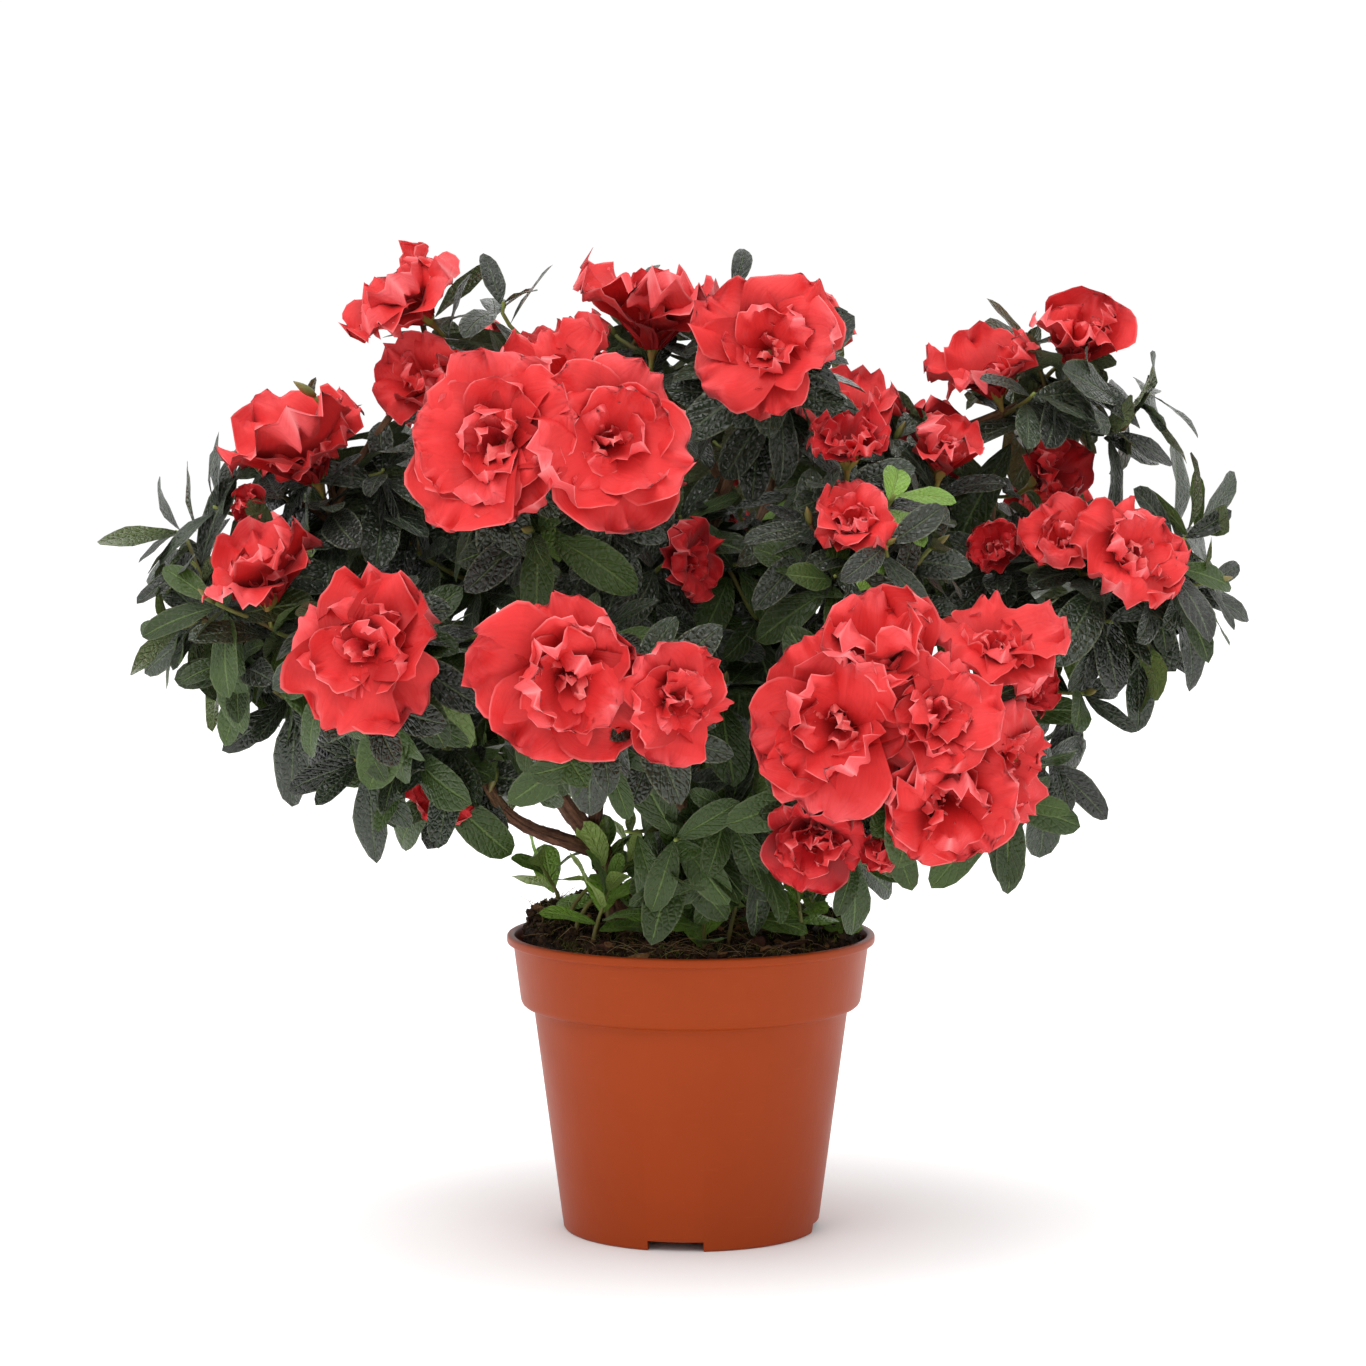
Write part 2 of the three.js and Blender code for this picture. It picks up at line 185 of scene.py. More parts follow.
@dataclass
class Surface:
    """A piece's mesh in the making: many grids of points, joined into one mesh."""

    name: str
    points: list[np.ndarray] = field(default_factory=list)
    faces: list[np.ndarray] = field(default_factory=list)
    uvs: list[np.ndarray] = field(default_factory=list)
    tones: list[np.ndarray] = field(default_factory=list)
    count: int = 0

    def add(self, grid: np.ndarray, uv: np.ndarray | None = None, tone: np.ndarray | None = None,
            closed: bool = False) -> None:
        """Adds a stack of grids.

        Args:
            grid: points shaped (grids, rows, columns, 3).
            uv: map places shaped (rows, columns, 2); a plain 0 to 1 map if left out.
            tone: one value for each grid, kept on its points for the material.
            closed: whether the last column joins the first.
        """
        grids, rows, columns = grid.shape[:3]
        if grids == 0:
            return
        if uv is None:
            uv = np.stack(np.meshgrid(np.linspace(0, 1, columns), np.linspace(0, 1, rows)), axis=-1)
        index = np.arange(grids * rows * columns).reshape(grids, rows, columns) + self.count
        if closed:
            index = np.concatenate([index, index[:, :, :1]], axis=2)
        corners = (index[:, :-1, :-1], index[:, :-1, 1:], index[:, 1:, 1:], index[:, 1:, :-1])
        self.faces.append(np.stack(corners, axis=-1).reshape(-1, 4))
        self.points.append(grid.reshape(-1, 3))
        self.uvs.append(np.broadcast_to(uv, (grids, rows, columns, 2)).reshape(-1, 2))
        tone = np.zeros(grids) if tone is None else tone
        self.tones.append(np.repeat(tone, rows * columns))
        self.count += grids * rows * columns

    def build(self, weld: float = 1e-7, flat: bool = False) -> bpy.types.Object:
        """Makes the object, at the origin, with its place in its mesh.

        Args:
            weld: corners closer than this become one, which closes seams and poles. 0 leaves them.
            flat: whether each face is shaded flat.

        Returns:
            The new object.
        """
        points, faces = np.concatenate(self.points), np.concatenate(self.faces)
        uvs, tones = np.concatenate(self.uvs), np.concatenate(self.tones)
        mesh = bpy.data.meshes.new(self.name)
        mesh.vertices.add(len(points))
        mesh.vertices.foreach_set("co", points.astype(np.float32).ravel())
        mesh.loops.add(faces.size)
        mesh.loops.foreach_set("vertex_index", faces.astype(np.int32).ravel())
        mesh.polygons.add(len(faces))
        mesh.polygons.foreach_set("loop_start", np.arange(0, faces.size, 4, dtype=np.int32))
        mesh.update(calc_edges=True)
        mesh.uv_layers.new(name="OFBake")
        mesh.uv_layers[0].data.foreach_set("uv", uvs[faces.ravel()].astype(np.float32).ravel())
        mesh.attributes.new("tone", "FLOAT", "POINT").data.foreach_set("value", tones.astype(np.float32))
        if weld:
            shape = bmesh.new()
            shape.from_mesh(mesh)
            bmesh.ops.remove_doubles(shape, verts=shape.verts, dist=weld)
            shape.to_mesh(mesh)
            shape.free()
        mesh.validate()
        mesh.polygons.foreach_set("use_smooth", np.full(len(mesh.polygons), not flat))
        piece = bpy.data.objects.new(self.name, mesh)
        bpy.context.scene.collection.objects.link(piece)
        return piece


def finish_piece(piece: bpy.types.Object, finish: "Finish", *nodes: str) -> bpy.types.Object:
    """Dresses a piece, ties it to the frame and reports it.

    Args:
        piece: the finished object.
        finish: its material.
        nodes: the CAD nodes that it stands for.

    Returns:
        The same object.
    """
    piece.data.materials.clear()
    piece.data.materials.append(finish.material())
    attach(piece, BODY)
    if nodes:
        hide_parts(*nodes)
    triangles = sum(len(polygon.vertices) - 2 for polygon in piece.data.polygons)
    log.info("%-24s %8d triangles, %s", piece.name, triangles, finish.name)
    return piece


# ------------------------------------------------------------------------------------------------ materials


class Nodes:
    """A small hand for wiring a node tree."""

    def __init__(self, tree: bpy.types.NodeTree) -> None:
        """Keeps the tree that the nodes go into."""
        self.tree = tree

    def add(self, kind: str, inputs: dict | None = None, **settings: object) -> bpy.types.Node:
        """Adds a node.

        Args:
            kind: the node's type name.
            inputs: socket names or numbers, each with a value or a socket to link from.
            settings: the node's own properties.

        Returns:
            The node.
        """
        node = self.tree.nodes.new(kind)
        for key, value in settings.items():
            setattr(node, key, value)
        for key, value in (inputs or {}).items():
            if isinstance(value, bpy.types.NodeSocket):
                self.tree.links.new(value, node.inputs[key])
            else:
                node.inputs[key].default_value = value
        return node

    def math(self, operation: str, *values: object) -> bpy.types.NodeSocket:
        """The result of a Math node."""
        return self.add("ShaderNodeMath", dict(enumerate(values)), operation=operation).outputs[0]

    def mix(self, share: object, first: object, second: object, blend: str = "MIX") -> bpy.types.NodeSocket:
        """A blend of two colours."""
        node = self.add("ShaderNodeMix", {0: share, 6: first, 7: second}, data_type="RGBA", blend_type=blend)
        return node.outputs[2]

    def span(self, value: object, low: float, high: float, start: float = 0, end: float = 1) -> bpy.types.NodeSocket:
        """A value carried from one range to another, and held at its ends."""
        return self.add("ShaderNodeMapRange", {0: value, 1: low, 2: high, 3: start, 4: end}).outputs[0]

    def noise(self, vector: object, scale: float, detail: float = 2.0, rough: float = 0.5) -> bpy.types.NodeSocket:
        """The value of a noise texture."""
        inputs = {"Vector": vector, "Scale": scale, "Detail": detail, "Roughness": rough}
        return self.add("ShaderNodeTexNoise", inputs).outputs["Fac"]


def colour(red: float, green: float, blue: float) -> tuple[float, float, float, float]:
    """A linear colour from the 0 to 255 values that a screen shows."""
    linear = [(c / 255 / 12.92) if c <= 10.3 else ((c / 255 + 0.055) / 1.055) ** 2.4 for c in (red, green, blue)]
    return (*linear, 1.0)


def mottle_group() -> bpy.types.NodeTree:
    """The shared mottle: three sizes of noise added up, centred on 0, as a value that changes over a surface.

    Returns:
        The node group, made once.
    """
    name = "mottle"
    if name in bpy.data.node_groups:
        return bpy.data.node_groups[name]
    group = bpy.data.node_groups.new(name, "ShaderNodeTree")
    group.interface.new_socket("Vector", in_out="INPUT", socket_type="NodeSocketVector")
    group.interface.new_socket("Scale", in_out="INPUT", socket_type="NodeSocketFloat")
    group.interface.new_socket("Amount", in_out="INPUT", socket_type="NodeSocketFloat")
    group.interface.new_socket("Value", in_out="OUTPUT", socket_type="NodeSocketFloat")
    nodes = Nodes(group)
    ends = nodes.add("NodeGroupInput"), nodes.add("NodeGroupOutput")
    source = ends[0].outputs
    total = None
    for times, share in ((1.0, 0.6), (3.7, 0.3), (11.0, 0.2)):
        scale = nodes.math("MULTIPLY", source["Scale"], times)
        layer = nodes.add("ShaderNodeTexNoise", {"Vector": source["Vector"], "Scale": scale, "Detail": 1.0})
        centred = nodes.math("MULTIPLY", nodes.math("SUBTRACT", layer.outputs["Fac"], 0.5), share)
        total = centred if total is None else nodes.math("ADD", total, centred)
    group.links.new(nodes.math("MULTIPLY", total, source["Amount"]), ends[1].inputs["Value"])
    return group


@dataclass(frozen=True)
class Finish:
    """A surface finish: a Principled material, and a slot name that it carries."""

    name: str
    slot: str
    roughness: float = 0.5
    specular: float = 0.5

    def material(self) -> bpy.types.Material:
        """The finish's material, made once.

        Returns:
            The material.
        """
        if self.name in bpy.data.materials:
            return bpy.data.materials[self.name]
        made = bpy.data.materials.new(self.name)
        made.use_nodes = True
        nodes = Nodes(made.node_tree)
        shader = made.node_tree.nodes["Principled BSDF"]
        shader.inputs["Roughness"].default_value = self.roughness
        shader.inputs["Specular IOR Level"].default_value = self.specular
        self.dress(nodes, shader)
        return made

    def dress(self, nodes: Nodes, shader: bpy.types.Node) -> None:
        """Wires the finish's own colours and relief. Each finish has its own.

        Args:
            nodes: the material's nodes.
            shader: its Principled shader.
        """

    @staticmethod
    def mottle(nodes: Nodes, vector: object, scale: float, amount: float) -> bpy.types.NodeSocket:
        """A centred mottle value from the shared group.

        Args:
            nodes: the material's nodes.
            vector: where the pattern is read.
            scale: how fine it is.
            amount: how far it swings.

        Returns:
            The value's socket.
        """
        node = nodes.add("ShaderNodeGroup", node_tree=mottle_group())
        nodes.tree.links.new(vector, node.inputs["Vector"])
        node.inputs["Scale"].default_value = scale
        node.inputs["Amount"].default_value = amount
        return node.outputs["Value"]

    @staticmethod
    def bump(nodes: Nodes, shader: bpy.types.Node, height: object, depth: float, strength: float = 1.0) -> None:
        """Relief from a height, with its depth in metres."""
        inputs = {"Height": height, "Distance": depth, "Strength": strength}
        nodes.tree.links.new(nodes.add("ShaderNodeBump", inputs).outputs[0], shader.inputs["Normal"])


@dataclass(frozen=True)
class PotPlastic(Finish):
    """Moulded terracotta-coloured plastic: satin, a little mottled, with faint scuffs that run round it, and painted
    shade that darkens it towards the foot.
    """

    shade: tuple = colour(156, 61, 19)
    worn: tuple = colour(174, 80, 36)

    def dress(self, nodes: Nodes, shader: bpy.types.Node) -> None:
        """Mottle in the colour and the roughness, scuffs in the colour, painted shade that darkens the colour towards
        the foot, and the fine orange-peel skin of moulded plastic.

        Args:
            nodes: the material's nodes.
            shader: its Principled shader.
        """
        place = nodes.add("ShaderNodeTexCoord").outputs["Object"]
        cloud = self.mottle(nodes, place, 16.0, 0.9)
        # Painted shade: over the lowest 9 cm the colour darkens towards the foot, where the crown shades the pot.
        low = nodes.span(nodes.add("ShaderNodeSeparateXYZ", {0: place}).outputs[2], 0.0, 0.09, 0.16, 0.0)
        base = nodes.mix(nodes.math("ADD", nodes.span(cloud, -0.3, 0.3), 0.0), self.shade,
                         tuple(0.86 * c for c in self.shade[:3]) + (1.0,))
        base = nodes.mix(low, base, colour(112, 36, 11))
        stretch = nodes.add("ShaderNodeMapping", {"Vector": place, "Scale": (60.0, 60.0, 900.0)}).outputs[0]
        scuff = nodes.span(nodes.noise(stretch, 1.0, 3.0, 0.6), 0.66, 0.8)
        base = nodes.mix(nodes.math("MULTIPLY", scuff, 0.35), base, self.worn)
        nodes.tree.links.new(base, shader.inputs["Base Color"])
        rough = nodes.math("ADD", nodes.math("MULTIPLY", cloud, 0.3), self.roughness)
        nodes.tree.links.new(rough, shader.inputs["Roughness"])
        peel = nodes.noise(place, 900.0, 2.0)
        self.bump(nodes, shader, peel, 0.00006, 0.6)


@dataclass(frozen=True)
class Litter(Finish):
    """Peat and what lies on it: a base colour and a lighter one, mixed by mottle and by each bit's own tone."""

    dark: tuple = colour(20, 14, 11)
    light: tuple = colour(58, 42, 31)
    grain: float = 420.0
    relief: float = 0.0006

    def dress(self, nodes: Nodes, shader: bpy.types.Node) -> None:
        """Crumbly colour and relief, from mottle and the tone attribute.

        Args:
            nodes: the material's nodes.
            shader: its Principled shader.
        """
        place = nodes.add("ShaderNodeTexCoord").outputs["Object"]
        cloud = self.mottle(nodes, place, self.grain, 1.6)
        tone = nodes.add("ShaderNodeAttribute", attribute_name="tone").outputs["Fac"]
        share = nodes.math("ADD", nodes.span(cloud, -0.3, 0.5), nodes.math("MULTIPLY", tone, 0.6))
        nodes.tree.links.new(nodes.mix(nodes.span(share, 0.1, 1.0), self.dark, self.light), shader.inputs[0])
        self.bump(nodes, shader, cloud, self.relief)


@dataclass(frozen=True)
class Bark(Finish):
    """Thin reddish-brown bark that flakes in long strips, greyer where it is raised."""

    dark: tuple = colour(58, 34, 24)
    light: tuple = colour(134, 92, 70)

    def dress(self, nodes: Nodes, shader: bpy.types.Node) -> None:
        """Strips drawn out along the limb, which the map's second direction follows.

        Args:
            nodes: the material's nodes.
            shader: its Principled shader.
        """
        coordinates = nodes.add("ShaderNodeTexCoord")
        strips = nodes.add("ShaderNodeMapping", {"Vector": coordinates.outputs["UV"], "Scale": (9.0, 1.6, 1.0)})
        long = nodes.noise(strips.outputs[0], 1.0, 5.0, 0.65)
        cloud = self.mottle(nodes, coordinates.outputs["Object"], 260.0, 1.2)
        share = nodes.math("ADD", nodes.span(long, 0.3, 0.7), cloud)
        nodes.tree.links.new(nodes.mix(nodes.span(share, 0.0, 1.0), self.dark, self.light), shader.inputs[0])
        self.bump(nodes, shader, share, 0.0005)


@dataclass(frozen=True)
class Leaf(Finish):
    """A leathery leaf: its own green, a paler midrib that is partly a painted highlight, a net of sunk veins, silvery
    hairs and a pale margin that are partly a painted sheen and highlight, and a paler underside.
    """

    upper: tuple = colour(28, 39, 20)
    under: tuple = colour(104, 118, 74)
    rib: tuple = colour(92, 106, 72)
    hairs: float = 0.6
    net: float = 0.0004

    def dress(self, nodes: Nodes, shader: bpy.types.Node) -> None:
        """Midrib and margin by the map across the leaf, side veins slanting from it, hairs and net by noise. The paler
        midrib, hairs and margin are partly painted highlight and sheen.

        Args:
            nodes: the material's nodes.
            shader: its Principled shader.
        """
        coordinates = nodes.add("ShaderNodeTexCoord")
        split = nodes.add("ShaderNodeSeparateXYZ", {0: coordinates.outputs["UV"]}).outputs
        across = nodes.math("ABSOLUTE", nodes.math("SUBTRACT", split[0], 0.5))
        rib = nodes.span(across, 0.012, 0.05, 1.0, 0.0)
        margin = nodes.span(across, 0.44, 0.5)
        slant = nodes.math("SUBTRACT", nodes.math("MULTIPLY", split[1], 52.0), nodes.math("MULTIPLY", across, 30.0))
        veins = nodes.span(nodes.math("SINE", slant), 0.55, 1.0)
        net = nodes.add("ShaderNodeTexVoronoi", {"Vector": coordinates.outputs["Object"], "Scale": 460.0},
                        feature="DISTANCE_TO_EDGE").outputs["Distance"]
        tone = nodes.add("ShaderNodeAttribute", attribute_name="tone").outputs["Fac"]
        cloud = self.mottle(nodes, coordinates.outputs["Object"], 110.0, 0.8)
        lit = nodes.mix(nodes.span(nodes.math("ADD", tone, cloud), -0.8, 1.0),
                        tuple(0.28 * c for c in self.upper[:3]) + (1.0,),
                        tuple(1.7 * c for c in self.upper[:3]) + (1.0,))
        lit = nodes.mix(nodes.math("MULTIPLY", veins, 0.12), lit, self.rib)
        # The paler midrib is partly its own colour and partly a painted highlight along its sunk crease.
        lit = nodes.mix(nodes.math("MULTIPLY", rib, 0.6), lit, self.rib)
        stretch = nodes.add("ShaderNodeMapping", {"Vector": coordinates.outputs["UV"], "Scale": (70.0, 26.0, 1.0)})
        # Pale hair specks and a pale margin: partly the hairs' own silvery colour, and partly a painted sheen and
        # highlight.
        pale_hairs_and_painted_sheen = nodes.span(nodes.noise(stretch.outputs[0], 1.0, 2.0, 0.7), 0.58, 0.74)
        pale_hairs_and_painted_sheen = nodes.math("MAXIMUM", nodes.math("MULTIPLY", pale_hairs_and_painted_sheen, 0.16), nodes.math("MULTIPLY", margin, 0.5))
        lit = nodes.mix(nodes.math("MULTIPLY", pale_hairs_and_painted_sheen, self.hairs), lit, colour(154, 162, 126))
        back = nodes.add("ShaderNodeNewGeometry").outputs["Backfacing"]
        nodes.tree.links.new(nodes.mix(back, lit, self.under), shader.inputs["Base Color"])
        shader.inputs["Sheen Weight"].default_value = 0.12 * self.hairs
        shader.inputs["Sheen Roughness"].default_value = 0.35
        height = nodes.math("SUBTRACT", nodes.span(net, 0.0, 0.35), nodes.math("MULTIPLY", rib, 1.2))
        height = nodes.math("SUBTRACT", height, nodes.math("MULTIPLY", veins, 0.6))
        self.bump(nodes, shader, height, self.net)


@dataclass(frozen=True)
class Petal(Finish):
    """A petal: deep at the throat, partly as painted shade, full in the middle, paler at the margin, partly as a
    painted highlight, with a painted highlight along its rim and fine veins drawn out along it.
    """

    throat: tuple = colour(172, 13, 15)
    middle: tuple = colour(215, 43, 44)
    margin: tuple = colour(240, 96, 100)
    rim: tuple = colour(255, 158, 158)

    def dress(self, nodes: Nodes, shader: bpy.types.Node) -> None:
        """Colour along the petal by its map, deepened or paled by each petal's own tone, with painted shade at the
        throat and painted highlight at the margin and rim.

        Args:
            nodes: the material's nodes.
            shader: its Principled shader.
        """
        coordinates = nodes.add("ShaderNodeTexCoord")
        split = nodes.add("ShaderNodeSeparateXYZ", {0: coordinates.outputs["UV"]}).outputs
        tone = nodes.add("ShaderNodeAttribute", attribute_name="tone").outputs["Fac"]
        cloud = self.mottle(nodes, coordinates.outputs["Object"], 90.0, 0.5)
        along = nodes.math("ADD", nodes.math("ADD", split[1], nodes.math("MULTIPLY", tone, 0.22)), cloud)
        # The deep throat is partly the petal's own colour and partly painted shade in the bloom's sunk heart.
        base = nodes.mix(nodes.span(along, 0.12, 0.5), self.throat, self.middle)
        # The paler margin is partly the petal's own colour and partly a painted highlight.
        base = nodes.mix(nodes.span(along, 0.62, 1.15), base, self.margin)
        stretch = nodes.add("ShaderNodeMapping", {"Vector": coordinates.outputs["UV"], "Scale": (26.0, 1.6, 1.0)})
        veins = nodes.noise(stretch.outputs[0], 1.0, 3.0, 0.6)
        base = nodes.mix(nodes.span(veins, 0.5, 0.75, 0.0, 0.28), base, self.throat)
        # A painted highlight: a thin pale line along the petal's outer edge.
        side = nodes.math("ABSOLUTE", nodes.math("SUBTRACT", split[0], 0.5))
        rim = nodes.math("MAXIMUM", nodes.span(split[1], 0.95, 1.0),
                         nodes.math("MULTIPLY", nodes.span(side, 0.465, 0.5), nodes.span(split[1], 0.3, 0.6)))
        base = nodes.mix(nodes.math("MULTIPLY", rim, 0.5), base, self.rim)
        nodes.tree.links.new(base, shader.inputs["Base Color"])
        shader.inputs["Sheen Weight"].default_value = 0.12
        shader.inputs["Sheen Tint"].default_value = colour(255, 190, 190)
        self.bump(nodes, shader, veins, 0.0003)


@dataclass(frozen=True)
class Plain(Finish):
    """One colour that runs to another along the piece, with a little mottle: buds, scales and green twigs."""

    foot: tuple = colour(96, 110, 50)
    tip: tuple = colour(150, 96, 56)

    def dress(self, nodes: Nodes, shader: bpy.types.Node) -> None:
        """Colour along the piece by its map, with mottle and a fine relief.

        Args:
            nodes: the material's nodes.
            shader: its Principled shader.
        """
        coordinates = nodes.add("ShaderNodeTexCoord")
        along = nodes.add("ShaderNodeSeparateXYZ", {0: coordinates.outputs["UV"]}).outputs[1]
        cloud = self.mottle(nodes, coordinates.outputs["Object"], 300.0, 1.0)
        share = nodes.span(nodes.math("ADD", along, cloud), 0.1, 0.95)
        nodes.tree.links.new(nodes.mix(share, self.foot, self.tip), shader.inputs["Base Color"])
        self.bump(nodes, shader, cloud, 0.0002)


POT_PLASTIC = PotPlastic("terracotta_plastic", "pot_plastic", roughness=0.42, specular=0.13)
PEAT = Litter("crumbly_peat", "peat", roughness=0.95, specular=0.2)
CRUMBS = Litter("peat_crumbs", "peat", roughness=0.95, specular=0.2, dark=colour(18, 13, 10), light=colour(72, 52, 37))
CHIPS = Litter("bark_chips", "peat", roughness=0.85, specular=0.3, dark=colour(64, 38, 22), light=colour(140, 100, 62))
FIBRES = Litter("peat_fibres", "peat", roughness=0.8, specular=0.3, dark=colour(104, 78, 50),
                light=colour(170, 140, 96))
MOSS = Litter("moss", "peat", roughness=0.9, specular=0.2, dark=colour(52, 60, 24), light=colour(112, 118, 52))
FALLEN = Litter("fallen_leaves", "foliage", roughness=0.7, dark=colour(40, 18, 16), light=colour(92, 46, 32))
BARK = Bark("old_bark", "bark", roughness=0.8, specular=0.3)
TWIG_BARK = Bark("twig_bark", "bark", roughness=0.75, specular=0.3, dark=colour(70, 46, 32), light=colour(142, 104, 74))
YOUNG_BARK = Plain("young_bark", "bark", roughness=0.6, specular=0.35, foot=colour(104, 84, 46),
                   tip=colour(122, 136, 66))
LEAF_DARK = Leaf("leaf_dark", "foliage", roughness=0.34, specular=0.62)
LEAF_GREEN = Leaf("leaf_green", "foliage", roughness=0.4, specular=0.35, net=0.00026, upper=colour(48, 66, 22),
                  under=colour(112, 132, 72), rib=colour(104, 126, 68), hairs=0.35)
LEAF_FRESH = Leaf("leaf_fresh", "foliage", roughness=0.45, specular=0.45, upper=colour(104, 138, 46),
                  under=colour(134, 156, 76), rib=colour(146, 168, 86), hairs=0.2)
PETAL_CORAL = Petal("petal_coral", "foliage", roughness=0.55, specular=0.3)
# Deep red petals: an older bloom's colour, and partly painted shade on blooms set back in the crown.
PETAL_DEEP = Petal("petal_deep", "foliage", roughness=0.55, specular=0.3, throat=colour(140, 6, 14),
                   middle=colour(196, 20, 28), margin=colour(220, 48, 50))
PETAL_PALE = Petal("petal_pale", "foliage", roughness=0.55, specular=0.3, throat=colour(186, 22, 32),
                   middle=colour(224, 58, 62), margin=colour(242, 122, 118))
SCALE = Plain("bud_scales", "foliage", roughness=0.5, foot=colour(128, 142, 62), tip=colour(168, 104, 58))
BUD = Plain("buds", "foliage", roughness=0.45, foot=colour(84, 102, 44), tip=colour(132, 112, 60))


# ------------------------------------------------------------------------------------------------ the frame


@dataclass(frozen=True)
class Box:
    """A CAD node's box."""

    low: np.ndarray
    high: np.ndarray

    @classmethod
    def of(cls, node: str) -> "Box":
        """The box of a named node."""
        low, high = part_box(node)
        return cls(np.array(low), np.array(high))

    @property
    def middle(self) -> np.ndarray:
        """The box's middle."""
        return (self.low + self.high) / 2

    @property
    def half(self) -> np.ndarray:
        """Half the box's sides."""
        return (self.high - self.low) / 2


MASSES = {name.removeprefix("foliage_"): Box.of(name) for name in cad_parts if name.startswith("foliage_")}
STEM_NODES = [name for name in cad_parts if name.startswith("stem_")]
BOUGH_NODES = [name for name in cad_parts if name.startswith("bough_")]
FOLIAGE_NODES = ["foliage_" + name for name in MASSES]
CROWN_LOW = np.min([box.low for box in MASSES.values()], axis=0)
CROWN_HIGH = np.max([box.high for box in MASSES.values()], axis=0)
CROWN_HALF = (CROWN_HIGH - CROWN_LOW) / 2


def node_points(node: str) -> np.ndarray:
    """A CAD node's corners, shaped (n, 3).

    Args:
        node: the node's name.

    Returns:
        The corners, in metres.
    """
    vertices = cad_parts[node].data.vertices
    points = np.empty(len(vertices) * 3)
    vertices.foreach_get("co", points)
    return points.reshape(-1, 3)


# ------------------------------------------------------------------------------------------------ pot


def rounded(corners: list[tuple[float, float, float]], steps: int = 5) -> np.ndarray:
    """A section whose corners are rounded.

    Each corner (radius, height, round) is cut back by round along both its edges, and a parabola joins the cuts.

    Args:
        corners: the section's corners in order, in metres.
        steps: points along each rounding.

    Returns:
        The section's points, shaped (n, 2).
    """
    points = np.array([corner[:2] for corner in corners])
    t = np.linspace(0, 1, steps)[:, None]
    section = [points[:1]]
    for before, here, after, corner in zip(points[:-2], points[1:-1], points[2:], corners[1:-1]):
        start = here + unit(before - here) * min(corner[2], 0.48 * np.linalg.norm(before - here))
        end = here + unit(after - here) * min(corner[2], 0.48 * np.linalg.norm(after - here))
        section.append((1 - t) ** 2 * start + 2 * t * (1 - t) * here + t**2 * end)
    return np.concatenate([*section, points[-1:]])


